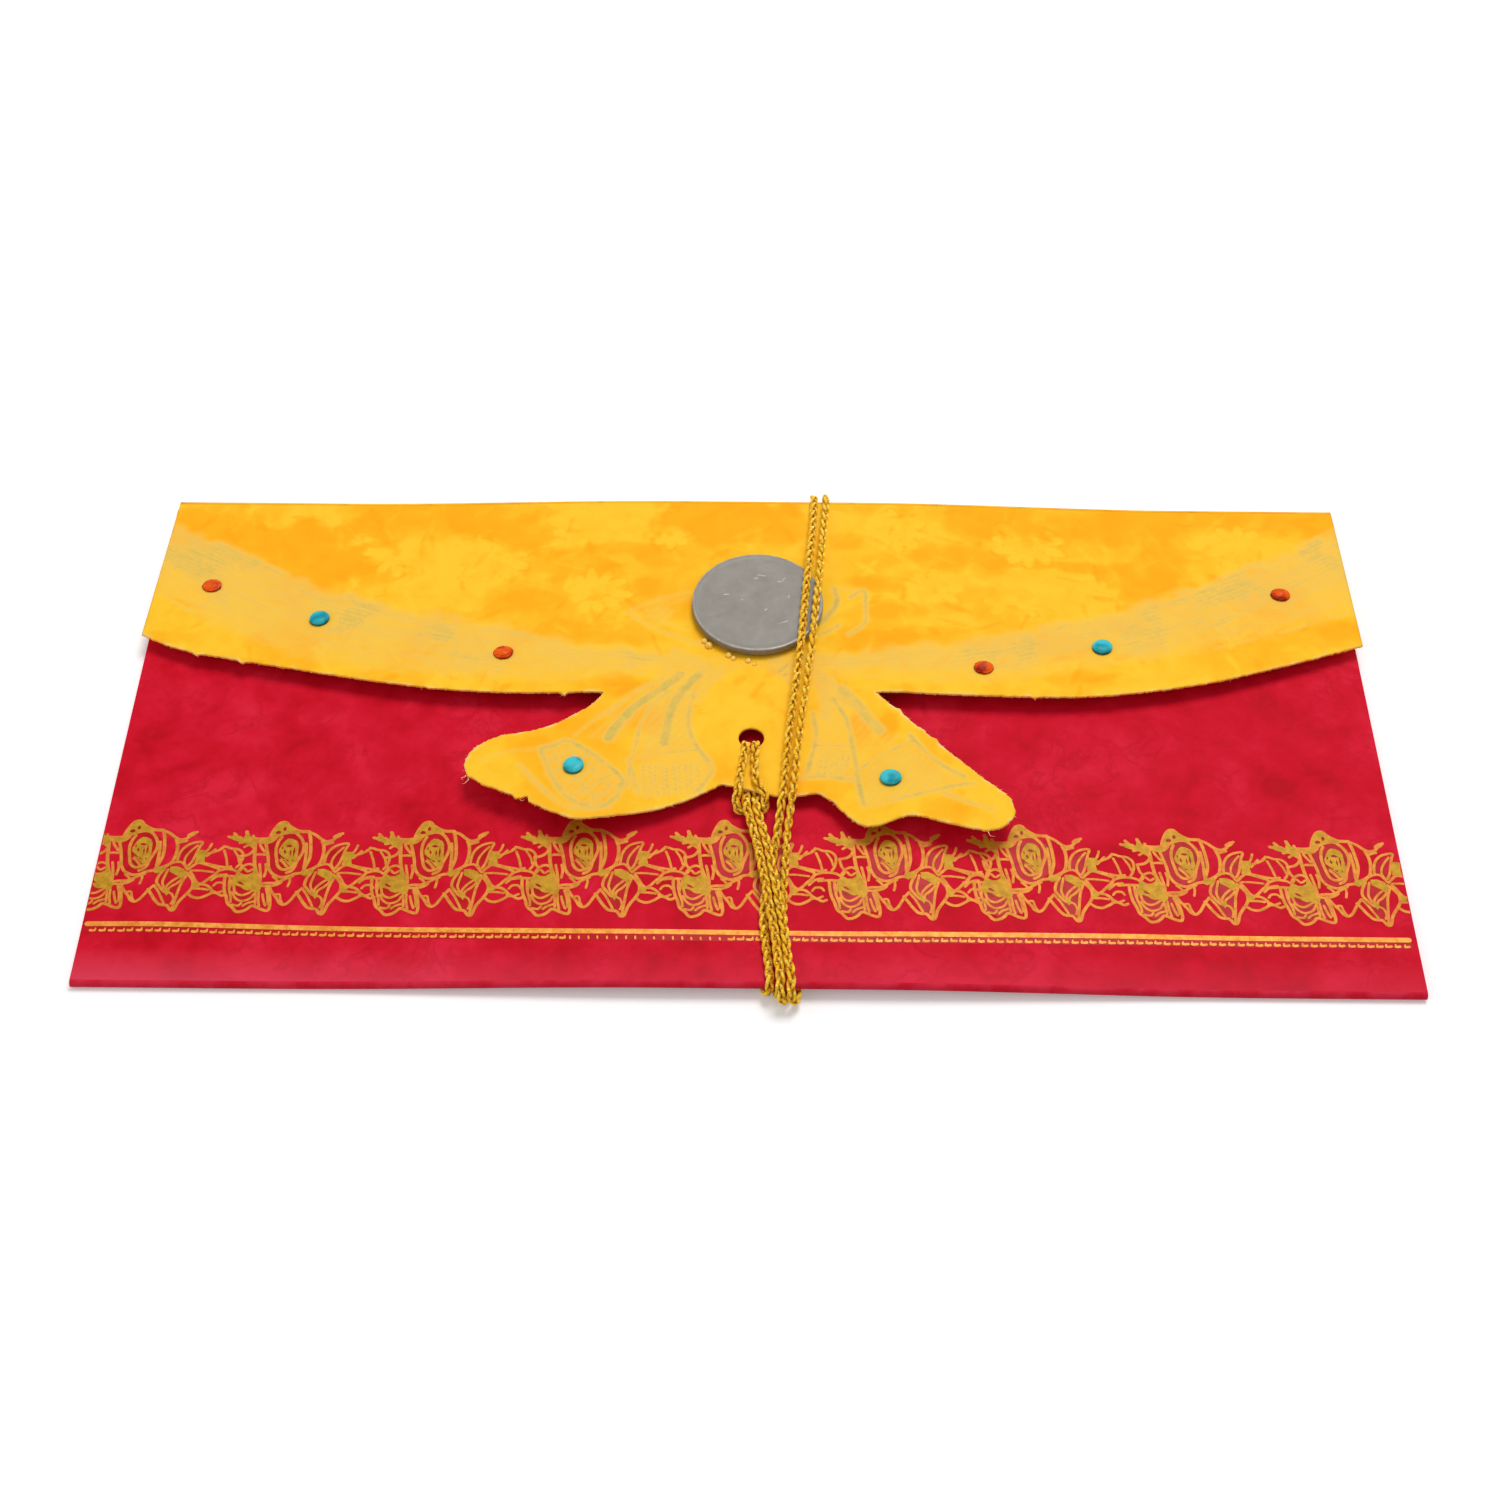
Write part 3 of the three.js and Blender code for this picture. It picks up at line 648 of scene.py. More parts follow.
def plait(line, first_normal, step):
    """Plies that cross over and under each other along the line, and how near the outside each point is, which sets
    the painted shade and highlight of the thread.
    """
    _, normals, sideways = frames_along(line, first_normal)
    along = np.arange(len(line)) * step
    parts, hulls = [], []
    for k in range(PLY_COUNT):
        turn = 2 * math.pi * (along / PLAIT_LENGTH + k / PLY_COUNT)
        centres = (line + sideways * (PLY_SWING * np.sin(turn))[:, None]
                   + normals * (PLY_LIFT * np.sin(2 * turn))[:, None])
        points, faces = tube(centres, PLY_RADIUS, PLY_SIDES, first_normal, PLY_TWIST, step)
        away = points - np.repeat(line, PLY_SIDES, axis=0)
        wide = (away * np.repeat(sideways, PLY_SIDES, axis=0)).sum(axis=1) / (PLY_SWING + PLY_RADIUS)
        high = (away * np.repeat(normals, PLY_SIDES, axis=0)).sum(axis=1) / (PLY_LIFT + PLY_RADIUS)
        parts.append((points, faces))
        hulls.append(np.hypot(wide, high))
    return *joined(parts), np.concatenate(hulls)


def give_hull(piece, hull_shade):
    piece.data.attributes.new("hull_shade", "FLOAT", "POINT").data.foreach_set("value", hull_shade)


def cord_line():
    fine = even_steps(split_long(cord_points(), 1.0), CORD_STEP)[0]
    return even_steps(softened(fine, 10), CORD_STEP)


def add_cord():
    line, length = cord_line()
    points, faces, hull_shade = plait(line, (0, 0, 1), CORD_STEP)
    cord = mesh_piece("gold_cord", in_row(points), faces, THREAD, "flap")
    give_hull(cord, hull_shade)
    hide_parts("cord")
    return cord, in_row(line), length


def add_knot():
    """The flat knot of the cord's ends: wraps over a barrel, and two cut ends."""
    half = KNOT_LENGTH / 2
    centre = np.array([lane(0.5) + TAIL_DRIFT, TAIL_LENGTH - FOLD_LINE + KNOT_GAP + half, CORD_BACK])
    rings, around = 40, 64
    points, hull_shade = [], []
    for i in range(rings + 1):
        v = -1 + 2 * i / rings
        barrel = KNOT_WIDTH / 2 * (1 - 0.35 * abs(v) ** 5) * math.sqrt(max(0.0, 1 - 0.72 * v * v * abs(v)))
        for j in range(around):
            angle = 2 * math.pi * j / around
            wrap = 1 - 0.09 * (0.5 + 0.5 * math.cos(3 * (angle + 2.6 * v)))
            radius = barrel * wrap
            points.append((radius * math.cos(angle), half * v, radius * math.sin(angle) / 3.05))
            # the ridges of the wraps lighter and their dips darker: painted highlight and shade
            hull_shade.append(0.6 + 0.4 * (wrap - 0.91) / 0.09)
    points = np.array(points)
    faces = [tuple(range(around)), tuple(rings * around + j for j in range(around))[::-1]]
    faces += band_faces(rings + 1, around, flip=True)
    parts, hulls = [(points + centre, faces)], [hull_shade]
    for side in (-1, 1):
        x = centre[0] + side * LANE_PITCH / 2
        ends = [(x, centre[1] + half * 0.6, CORD_BACK),
                (x + side * 0.1, centre[1] + half + KNOT_END - 0.4, CORD_BACK)]
        *part, hull_shade = plait(even_steps(np.array(ends), CORD_STEP)[0], (0, 0, 1), CORD_STEP)
        parts.append(part)
        hulls.append(hull_shade)
    points, faces = joined(parts)
    knot = mesh_piece("tied_ends", in_row(points), faces, THREAD, "flap")
    give_hull(knot, np.concatenate(hulls))
    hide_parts("cord_knot")
    return knot


def go_slack(piece):
    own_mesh(piece)


cord, cord_path, cord_length = add_cord()
knot = add_knot()
go_slack(cord)
go_slack(knot)


# --- The flap and its fold --------------------------------------------------------------------------
def spline_through(points, per_span):
    """A curve through points in the way that the part's source draws its outline."""
    pts = [np.array(p, dtype=float) for p in points]
    out = []
    last = len(pts) - 1
    for i in range(last):
        p0, p1, p2 = pts[max(0, i - 1)], pts[i], pts[i + 1]
        p3 = pts[min(last, i + 2)]
        v0, v1 = (p2 - p0) / 2, (p3 - p1) / 2
        for k in range(per_span):
            t = k / per_span
            out.append((2 * p1 - 2 * p2 + v0 + v1) * t ** 3
                       + (-3 * p1 + 3 * p2 - 2 * v0 - v1) * t ** 2 + v0 * t + p1)
    out.append(pts[-1])
    return out


# The flap's torn lower edge, from the left side to the right: [x, distance from the fold]
HALF_FLAP = FLAP_LENGTH / 2
SIDE_LEAN = 0.7
FOLD_LEFT = -HALF_FLAP + SIDE_LEAN
FLAP_EDGE = [
    [(-HALF_FLAP, FLAP_SIDE), (-93, 36), (-75.6, 39.6), (-53, 43.7), (-38, 45.1), (-23.8, 45.1)],
    [(-23.8, 45.1), (-26.6, 48.7), (-33.2, 52.8), (-40.3, 54.5), (-44.2, 57.4), (-44.9, 61.2), (-41.8, 64.3)],
    [(-41.8, 64.3), (-36.6, 66.6), (-30.6, 69.7), (-25.6, 71.1), (-16, 68.7), (-9.5, 66.1), (-4.4, 63.1)],
    [(-4.4, 63.1), (-1.9, 63.7), (4.5, 65.4), (10.6, 64.7)],
    [(10.6, 64.7), (12.9, 66.4), (16.4, 70.5), (19.6, 71.5), (25.1, 70), (31.2, 71.6), (37.2, 72.5),
     (40.8, 69.9), (40.6, 66.2)],
    [(40.6, 66.2), (34.2, 60), (27, 52.4), (20.1, 44.4)],
    [(20.1, 44.4), (36, 45), (55, 44.5), (73, 41.4), (88, 37), (HALF_FLAP, FLAP_SIDE)],
]


# Small pale nibs of fibre that stand out of the torn edge: [x, distance from the fold, height, half width]
NIBS = [
    (-91.6, 36.5, 0.5, 0.6), (-83.8, 38.0, 0.6, 0.5), (-52.4, 44.3, 0.3, 0.5), (-30.3, 45.3, 0.55, 0.5),
    (-44.6, 62.7, 0.5, 0.7), (-43.4, 63.8, 0.45, 0.4), (-36.2, 66.6, 0.5, 0.4), (23.4, 48.8, 0.6, 0.5),
    (27.4, 52.9, 0.35, 0.6), (29.4, 54.7, 0.45, 0.7), (46, 44.9, 0.35, 0.4), (36.2, 72.8, 0.3, 0.4),
]
NOTCH = (-34.9, 67.2, 1.3, 0.42)


def torn_edge():
    """The lower edge in small steps, a little ragged, with its nibs and its one small tear."""
    line = []
    for run in FLAP_EDGE:
        points = spline_through(run, 24)
        line.extend(points[:-1])
    line.append(np.array(FLAP_EDGE[-1][-1], dtype=float))
    line = np.array([(x, FOLD_LINE - down) for x, down in line])
    line = even_steps(line, 0.3)[0]
    ragged = line.copy()
    for i in range(1, len(line) - 1):
        along = line[i + 1] - line[i - 1]
        outwards = np.array([along[1], -along[0]]) / np.linalg.norm(along)
        place = Vector((line[i][0], line[i][1], 0))
        amount = 0.1 * noise.noise(place * 0.9) + 0.16 * noise.noise(place * 2.6 + Vector((7, 3, 1)))
        for x, down, height, width in NIBS:
            away = math.hypot(line[i][0] - x, line[i][1] - FOLD_LINE + down)
            amount += height * math.exp(-(away / width) ** 2)
        away = math.hypot(line[i][0] - NOTCH[0], line[i][1] - FOLD_LINE + NOTCH[1])
        amount -= NOTCH[2] * math.exp(-(away / NOTCH[3]) ** 2)
        ragged[i] = line[i] + outwards * amount
    return ragged


def inside(outline, points):
    """Which points lie inside a closed outline."""
    hits = np.zeros(len(points), dtype=bool)
    x, y = points[:, 0], points[:, 1]
    for (x0, y0), (x1, y1) in zip(outline, np.roll(outline, -1, axis=0)):
        if y0 == y1:
            continue
        crosses = (y0 > y) != (y1 > y)
        hits ^= crosses & (x < x0 + (y - y0) * (x1 - x0) / (y1 - y0))
    return hits


def sheet_from_outline(outline, hole, spacing):
    """A flat triangle mesh inside an outline, with a hole and an even grid."""
    low, high = outline.min(axis=0), outline.max(axis=0)
    row_height = spacing * 0.866
    grid = np.array([
        (low[0] + (c + 0.5 * (r % 2)) * spacing, low[1] + r * row_height)
        for r in range(1, int((high[1] - low[1]) / row_height))
        for c in range(1, int((high[0] - low[0]) / spacing))])
    grid = grid[inside(outline, grid) & ~inside(hole, grid)]
    rim = np.concatenate([outline, hole])
    tree = KDTree(len(rim))
    for i, (x, y) in enumerate(rim):
        tree.insert((x, y, 0), i)
    tree.balance()
    clear = [tree.find((x, y, 0))[2] > 0.45 * min(spacing, 0.5) for x, y in grid]
    grid = grid[clear]
    rings = [(0, len(outline)), (len(outline), len(rim))]
    edges = [(i, i + 1 if i + 1 < last else first) for first, last in rings for i in range(first, last)]
    points = [Vector(p) for p in np.concatenate([rim, grid])]
    verts, _, faces, _, _, _ = delaunay_2d_cdt(points, edges, [], 1, 1e-7)
    verts = np.array([tuple(v) for v in verts])
    faces = np.array(faces)
    centres = verts[faces].mean(axis=1)
    return verts, faces[inside(outline, centres) & ~inside(hole, centres)], rings


def facing_up(verts, faces):
    a, b, c = (verts[faces[:, k]] for k in range(3))
    area = (b[:, 0] - a[:, 0]) * (c[:, 1] - a[:, 1]) - (c[:, 0] - a[:, 0]) * (b[:, 1] - a[:, 1])
    return np.where(area[:, None] > 0, faces, faces[:, ::-1])


# --- The print on the flap: places are [x, distance from the fold] -------------------------------
PRINT_STEP = 0.46
BAND_TOP = [
    (-104, 3.6), (-90.1, 11.1), (-80.1, 17), (-69.9, 21.9), (-61, 25.1), (-51.4, 27.4), (-39, 30.4),
    (-31, 33.6), (-23.8, 34.9), (-14.1, 35.7), (-8, 36.6), (0, 37.6), (6, 36.2), (10.6, 35.2), (21.2, 34.4),
    (31.1, 33.2), (41.2, 31), (47.3, 29.1), (56.9, 26.1), (71.7, 20.4), (81.7, 15.6), (90, 11.2), (104, 2.8),
]
BAND_BOTTOM = [
    (-104, 20.2), (-93.4, 27.7), (-83.1, 33.3), (-73.3, 37.5), (-63.9, 39.3), (-54.6, 40.6), (-37.7, 42),
    (-30.5, 42.4), (-23.5, 41.4), (-16.5, 40), (-8, 39.6), (0, 38.6), (6, 40), (10.6, 40.4), (21, 41), (34, 42),
    (42, 41.4), (51.1, 38.6), (60.5, 36.7), (74.6, 34.1), (89.2, 29.2), (104, 23.6),
]
# Strokes of the printed ribbon: [width, strength, places]
RIBBON_STROKES = [
    (0.9, 0.42, [(-10.3, 22.1), (-11.8, 22.5), (-16.7, 24.6), (-20.3, 27), (-18.1, 29.3), (-15, 31.2),
         (-10, 33.4), (-7.7, 34.1)]),
    (0.6, 0.25, [(-10.7, 23.4), (-15.2, 25.6), (-17.4, 27), (-15.5, 28.4), (-11.2, 30.6)]),
    (2.4, 0.5, [(-12.6, 35.6), (-8.8, 38.3), (-6.1, 40.5)]),
    (1.1, 0.95, [(13.8, 21), (14.3, 23.5), (13.7, 25.8), (12.4, 27.6), (11.2, 29.2)]),
    (0.8, 0.85, [(16.6, 23.1), (18.9, 21.7), (19, 25.5), (18.8, 29.1), (16.1, 31.5)]),
    (0.8, 0.8, [(11, 31.6), (12.3, 31), (14.3, 29.6)]),
    (0.5, 0.45, [(13.1, 21.1), (18.9, 21.4)]),
    (3.4, 0.55, [(10.3, 37.4), (11.5, 42.5)]),
    (2.6, 0.6, [(11, 39.5), (13.6, 43.2), (16.3, 46.9)]),
    # the left tail
    (1.8, 0.95, [(-11.5, 40.6), (-15.1, 44.1), (-18.7, 47.8), (-21, 51.4), (-22.7, 54.7)]),
    (1.8, 0.95, [(-8.6, 40.5), (-11.4, 44.5), (-13.1, 48.8), (-13.8, 54.9)]),
    (0.7, 0.8, [(-13.3, 44), (-16.1, 47.5), (-17.6, 51.5), (-18.3, 55.8), (-19, 60), (-19.3, 64.6)]),
    (0.5, 0.6, [(-14.5, 41.6), (-18.8, 44.4), (-22.3, 48.4), (-25.7, 51.9), (-28.1, 54.5)]),
    (0.5, 0.6, [(-15.9, 42.7), (-20.2, 46.5), (-22.9, 50.1)]),
    (0.5, 0.5, [(-11.6, 43.6), (-15.6, 48.6), (-16.4, 53.4)]),
    (1.0, 0.8, [(-9.2, 44), (-10, 49.2), (-9.7, 53), (-8.2, 56.2), (-6.1, 59.9), (-7.2, 62.6), (-8.4, 64.4)]),
    (0.6, 0.75, [(-17.8, 58.3), (-14.7, 57.2), (-11.1, 56.6), (-8.2, 56.2)]),
    (1.3, 0.7, [(-19.2, 59.1), (-18.4, 62.2), (-17.6, 65.3)]),
    (1.0, 0.9, [(-33.3, 57.1), (-31.2, 56.4), (-29.1, 55.5), (-26.1, 57.4), (-22.4, 60.5), (-20.1, 62.9),
                (-20.7, 66.2), (-23, 68.7), (-25.5, 68.6), (-28.4, 67), (-30.8, 63.4), (-33.3, 57.1)]),
    (0.9, 0.65, [(-36.3, 60.5), (-34.4, 62.9), (-32.4, 65.2), (-29, 68.4), (-25.4, 69.3), (-21.9, 68.8)]),
    (0.5, 0.4, [(-42.5, 59.5), (-40.1, 58.1), (-36.2, 57.3), (-33, 57.3)]),
    # the right tail
    (2.6, 0.55, [(11.4, 42.6), (12.1, 45.4), (12.2, 49.2)]),
    (1.0, 0.85, [(10, 48.6), (10.4, 51.7), (10.2, 54.9), (9.5, 58.4), (8.6, 61.5)]),
    (2.4, 0.8, [(14.8, 43.5), (17.2, 46.9), (18.8, 49.8), (20.5, 52.5)]),
    (1.0, 0.9, [(13.3, 45.3), (15.4, 50), (16.1, 54.5), (16.6, 58.5), (17, 62.9), (17.7, 67.3)]),
    (0.5, 0.8, [(10.4, 55.1), (15.6, 55.1)]),
    (0.5, 0.7, [(10.7, 56.2), (15.7, 56.3)]),
    (1.1, 0.8, [(8.3, 61.7), (12.1, 61.4), (16.1, 62.2)]),
    (0.6, 0.85, [(17.5, 59.9), (20.3, 58), (23.1, 56.5), (25.9, 55)]),
    (1.0, 0.85, [(25.3, 53.9), (27.5, 57), (29.8, 59.6), (33.5, 62.1)]),
    (0.7, 0.85, [(22.1, 67), (27.5, 65.4), (32.3, 63.9), (35.1, 63.4)]),
    (0.6, 0.75, [(29.9, 65.3), (32.2, 66.5), (34.8, 67.5), (37.5, 68.5)]),
]
LATTICE = [
    ((-32.1, 59.7), (-29, 57.4)), ((-30.8, 62), (-26.1, 58.3)), ((-29.2, 64.8), (-23.8, 60.6)),
    ((-27.7, 67), (-21.9, 62.3)), ((-25.5, 68.4), (-20.4, 63.9)), ((-31.4, 58.2), (-23.4, 67.9)),
    ((-28.8, 57.2), (-21.2, 65.4)),
]
RIBBON_AREAS = [
    (0.5, [(17.5, 60.1), (20.3, 58.5), (23.1, 56.7), (25.9, 55.9), (28.5, 59.2), (31.1, 61.3), (33.8, 62.3),
           (31, 63.5), (27.2, 65.4), (23.4, 67.1), (20, 68.4), (17.7, 68.1)]),
    (0.75, [(2.4, 39.6), (4.7, 37.9), (6.8, 36.8), (6.7, 43), (4.7, 41.1)]),
    (0.45, [(-33.3, 57.1), (-29.1, 55.5), (-22.4, 60.5), (-20.1, 62.9), (-20.7, 66.2), (-23, 68.7), (-28.4, 67),
           (-30.8, 63.4)]),
    (0.45, [(-17.8, 58.3), (-8.2, 56.2), (-6.1, 59.9), (-8.4, 64.4), (-17.6, 65.8)]),
    (0.4, [(-19.5, 27), (-15.4, 24.6), (-12.5, 26.5), (-15, 30.4)]),
    (0.5, [(-14.5, 37.8), (-8, 37), (-3, 39.6), (-6.4, 43.4), (-8.6, 47.5), (-12.6, 44.8), (-16.6, 42.6)]),
    (0.5, [(-12, 40), (-8.5, 40.4), (-9, 46), (-9.6, 53), (-8.2, 56.2), (-17.8, 58.3), (-17.4, 52), (-15, 46)]),
    (0.3, [(-17.5, 44), (-22.5, 50), (-27, 55), (-21.5, 56), (-17, 49)]),
    (0.4, [(10.3, 39), (13.8, 43), (15.4, 50), (16.6, 58.5), (10.4, 56), (10.6, 50)]),
    (0.5, [(10.4, 55.1), (15.6, 55.1), (16.4, 61.8), (8.4, 61.6)]),
    (0.3, [(16.3, 46.9), (20.5, 52.5), (25.3, 54), (20.3, 57.8), (17, 60), (16, 52)]),
]
# Deeper orange clouds: [x, distance from the fold, half width, half height, strength]
CLOUDS = [
    (-76.8, 13.3, 11, 6.5, 0.8), (-60.9, 6, 12, 5.5, 0.75), (-86.9, 9.7, 13, 3.5, 0.55), (-64.9, 16.2, 6, 4.5, 0.7),
    (-54.4, 20.9, 5, 2, 0.4), (-96.3, 5.6, 7, 3, 0.5), (-47.1, 2.7, 10, 3, 0.5), (-40.3, 7.8, 8, 4.5, 0.7),
    (-29.1, 15.8, 8, 4, 0.7), (-36.7, 24.3, 7, 4.2, 0.65), (-23.4, 12.5, 5, 2, 0.7), (-14.8, 13.9, 5, 4, 0.6),
    (-18.4, 21.5, 2.4, 2.4, 0.6), (-6.8, 5.1, 9, 6, 0.8), (-24, 31.8, 12, 2.6, 0.55), (-13.9, 5.2, 3, 3.4, 0.6),
    (5.5, 6.6, 4, 6, 0.7), (17.3, 1.6, 8, 2.6, 0.6), (15.7, 8.9, 4, 2.4, 0.6), (35.6, 13.5, 8, 3, 0.75),
    (21.6, 20, 4.5, 1.6, 0.65), (15.6, 14.7, 7, 5, 0.5), (41, 3.8, 8, 5, 0.7), (22.8, 26.6, 6, 1.8, 0.5),
    (17.9, 33.1, 8, 2.4, 0.7), (29.9, 32, 7, 2.2, 0.55), (72.7, 3.5, 13, 4.2, 0.75), (62.7, 6.6, 4, 3, 0.6),
    (74.4, 13.7, 7, 5, 0.55), (50.4, 14.6, 7, 1, 0.6), (56.1, 15, 3.4, 1.4, 0.6), (66.7, 17.9, 6, 6, 0.6),
    (60.8, 10.7, 14, 5, 0.35), (88.4, 22.2, 7, 3, 0.5), (63.2, 29.1, 4.4, 1.6, 0.6), (52.5, 33.9, 7, 2.8, 0.5),
    (98.1, 3.1, 8, 3, 0.5), (86.7, 17.6, 8, 3, 0.3), (55.5, 40.6, 7, 1.8, 0.6), (99.3, 29.7, 5, 3, 0.6),
    (-19.2, 43, 7, 2.4, 0.65), (-35.6, 56.3, 4.4, 2, 0.45), (-17.1, 50.5, 4.2, 2.8, 0.75), (-5, 53.9, 5, 8, 0.45),
    (17.4, 51.5, 1.4, 3, 0.95), (21.9, 51.5, 1.4, 2.8, 0.95), (6.2, 53, 1.6, 9, 0.8), (1.7, 45.5, 2, 1.4, 0.5),
    (32.1, 68.7, 7, 2.6, 0.55), (26.4, 43.7, 5, 1.2, 0.6), (-25.2, 33.6, 10, 1.6, 0.3), (-96, 33, 4, 1.4, 0.35),
]
# Paler daisies: [x, distance from the fold, size, petals, turn]
FLOWERS = [
    (-61.5, 12.5, 7.4, 11, 0.3), (-44.5, 13.8, 7.2, 10, 0.8), (-60, 24.2, 3.6, 9, 0.1), (-86, 4.4, 5.5, 9, 0.6),
    (-30.5, 6.5, 5.2, 9, 0.2), (-26.5, 22.5, 6.4, 10, 0.5), (-14.5, 8.5, 4.2, 8, 0.9), (24.5, 7.5, 6.2, 10, 0.4),
    (30.5, 21.5, 5.6, 9, 0.1), (47.5, 9.5, 7.2, 11, 0.7), (43.7, 24.5, 5, 9, 0.2), (58.5, 22.2, 4.8, 8, 0.5),
    (84.5, 9.5, 6.6, 10, 0.3), (96, 13.5, 4, 8, 0.6), (-94.5, 15.5, 4, 9, 0.2), (2, 49.5, 3.4, 8, 0.4),
    (-30, 50.5, 3.4, 8, 0.8), (33, 65.2, 3.4, 8, 0.2), (-70, 36, 3.6, 8, 0.5), (81, 30, 4.6, 9, 0.7),
    (-6, 45.5, 4, 8, 0.3), (65, 33.5, 3.8, 8, 0.6), (-47, 39.5, 3.2, 8, 0.1),
]


# Small leaves strewn over the ground: how many, and the box of their middles
LEAF_COUNT = 300
LEAF_BOX = (-100, 100), (1, 46)


def eased(value, low, high):
    t = np.clip((value - low) / (high - low), 0, 1)
    return t * t * (3 - 2 * t)


def fading(value, low, high):
    return 1 - eased(value, low, high)


def away_from_line(places, line):
    """How far each place is from a line of points."""
    least = np.full(len(places), np.inf)
    for a, b in zip(line, line[1:]):
        a, span = np.array(a, dtype=float), np.array(b, dtype=float) - np.array(a, dtype=float)
        t = np.clip(((places - a) @ span) / max(1e-9, span @ span), 0, 1)
        least = np.minimum(least, np.linalg.norm(places - a - t[:, None] * span, axis=1))
    return least


def rough_field(places, size, seed, parts=3):
    """Smooth noise from -1 to 1, the same in every run."""
    return np.array([
        noise.fractal(Vector((x / size, y / size, seed)), 1.0, 2.0, parts) for x, y in places])


def daisies(places, wobble, drift):
    """Where the daisies make the ground paler, and where their edges and the seams of their petals are."""
    x, down = places[:, 0], places[:, 1]
    paler, outlines, seams = (np.zeros(len(x)) for _ in range(3))
    for cx, cy, size, petals, turn in FLOWERS:
        angle = np.arctan2(down - cy, x - cx) + turn
        waist = np.abs(np.cos(petals * angle / 2))
        reach = np.hypot(x - cx, 1.1 * (down - cy)) / size
        edge = 0.42 + 0.55 * waist ** 0.7 + 0.12 * wobble
        petal = fading(reach / edge, 0.85, 1.05)
        paler += 0.36 * petal * eased(0.4 + drift, 0, 0.5) - 0.25 * fading(reach, 0.12, 0.24)
        seam = petal * fading(waist * reach * size, 0.1, 0.5) * eased(reach, 0.2, 0.4)
        seams += seam * eased(drift + wobble, -0.5, 0.2)
        outlines += fading(np.abs(reach / edge - 1) * size, 0.1, 0.5) * eased(drift + 0.8 * wobble, -0.1, 0.5)
    return paler, np.clip(outlines, 0, 1), np.clip(seams, 0, 1)


def ground_tone(places, wobble, drift, dapple):
    """The flap's ground, from deep orange to pale yellow."""
    x, down = places[:, 0], places[:, 1]
    leafy = rough_field(places, 5, 6.1, 4)
    deep = 0.55 * rough_field(places, 17, 8.3) + 0.3 * leafy - 0.04
    for cx, cy, half_width, half_height, strength in CLOUDS:
        reach = np.hypot((x - cx) / (1.25 * half_width), (down - cy) / (1.25 * half_height))
        deep += 0.75 * strength * fading(reach + 0.5 * leafy + 0.2 * wobble, 0.35, 1.25)
    paler, outlines, seams = daisies(places, wobble, drift)
    deep -= paler
    tone = 0.88 - 0.34 * eased(deep, -0.02, 0.26) - 0.3 * eased(deep, 0.26, 0.6) + 0.16 * leafy + 0.14 * dapple
    tone -= 0.3 * outlines + 0.2 * seams
    pick = random.Random(21)
    for _ in range(LEAF_COUNT):
        cx, cy = (pick.uniform(*ends) for ends in LEAF_BOX)
        turn, length, width = pick.uniform(0, math.pi), pick.uniform(1.4, 3.4), pick.uniform(0.35, 0.8)
        strength = pick.choice((-0.24, -0.18, 0.26, 0.32))
        close = np.nonzero(np.hypot(x - cx, down - cy) < length + 0.6)[0]
        dx, dy = x[close] - cx, down[close] - cy
        u = (dx * math.cos(turn) + dy * math.sin(turn)) / length
        v = (dy * math.cos(turn) - dx * math.sin(turn)) / width
        tone[close] -= strength * fading(np.abs(u) ** 1.5 + v * v, 0.5, 1.2)
    return tone


def fine_lines():
    """The lattice and the two fringes of the ribbon's tails: [places, how far each line fades]."""
    lines = [([start, end], 0.45) for start, end in LATTICE]
    for k in range(10):
        at = -16.9 + 0.94 * k
        lines.append(([(at, 59.7 - 0.05 * k), (at + 0.35 * (k % 2), 62.5), (at + 0.7, 65.9 - 0.1 * k)], 0.42))
    for k in range(6):
        at = 11.4 + 0.84 * k
        lines.append(([(at, 57.1), (at - 0.6, 61)], 0.42))
    return lines


def ribbon_lace(places, wobble, drift):
    """The printed ribbon, and how far each place is below its upper edge."""
    x, down = places[:, 0], places[:, 1]
    top = np.interp(x, *zip(*BAND_TOP))
    bottom = np.interp(x, *zip(*BAND_BOTTOM))
    across = down - top
    share = across / (bottom - top)
    band = eased(across + 1.4 * wobble, -0.8, 1.8) * fading(down - bottom + 1.3 * wobble, -2.4, 1.4)
    streaks = rough_field(np.stack([x, 9 * across], axis=1), 11, 2.9, 3)
    weave = 0.44 - 0.12 * eased(share, 0.4, 0.9) + 0.13 * streaks + 0.15 * eased(drift + 0.3 * wobble, 0.05, 0.5)
    lace = band * np.clip(weave, 0.1, 0.95)
    lace = np.maximum(lace, 0.42 * fading(np.abs(across - 0.3), 0.1, 0.5) * eased(drift + wobble, -0.2, 0.3))
    lower_turn = away_from_line(places, BAND_BOTTOM)
    lace = np.maximum(lace, 0.42 * fading(lower_turn, 0.15, 0.5) * eased(wobble, -0.2, 0.4))
    worn = 0.9 + 0.25 * rough_field(places, 1.5, 5.5, 2)
    for width, strength, line in RIBBON_STROKES:
        near = away_from_line(places, spline_through(line, 5)) + 0.12 * wobble
        ink = 0.88 * strength * fading(near, 0.37 * width - 0.25, 0.37 * width + 0.6)
        lace = np.maximum(lace, ink * worn)
    for line, fade in fine_lines():
        lace = np.maximum(lace, 0.7 * worn * fading(away_from_line(places, line), 0.05, fade))
    stripes = 0.7 + 0.3 * np.sin(2 * math.pi * (x + 0.8 * down) / 1.5)
    for strength, area in RIBBON_AREAS:
        within = inside(np.array(area, dtype=float), places).astype(float)
        soft = eased(away_from_line(places, [*area, area[0]]), 0.0, 0.9)
        lace = np.maximum(lace, strength * within * stripes * (0.45 + 0.55 * soft))
    return lace, np.where(band > 0, across, 0.0)


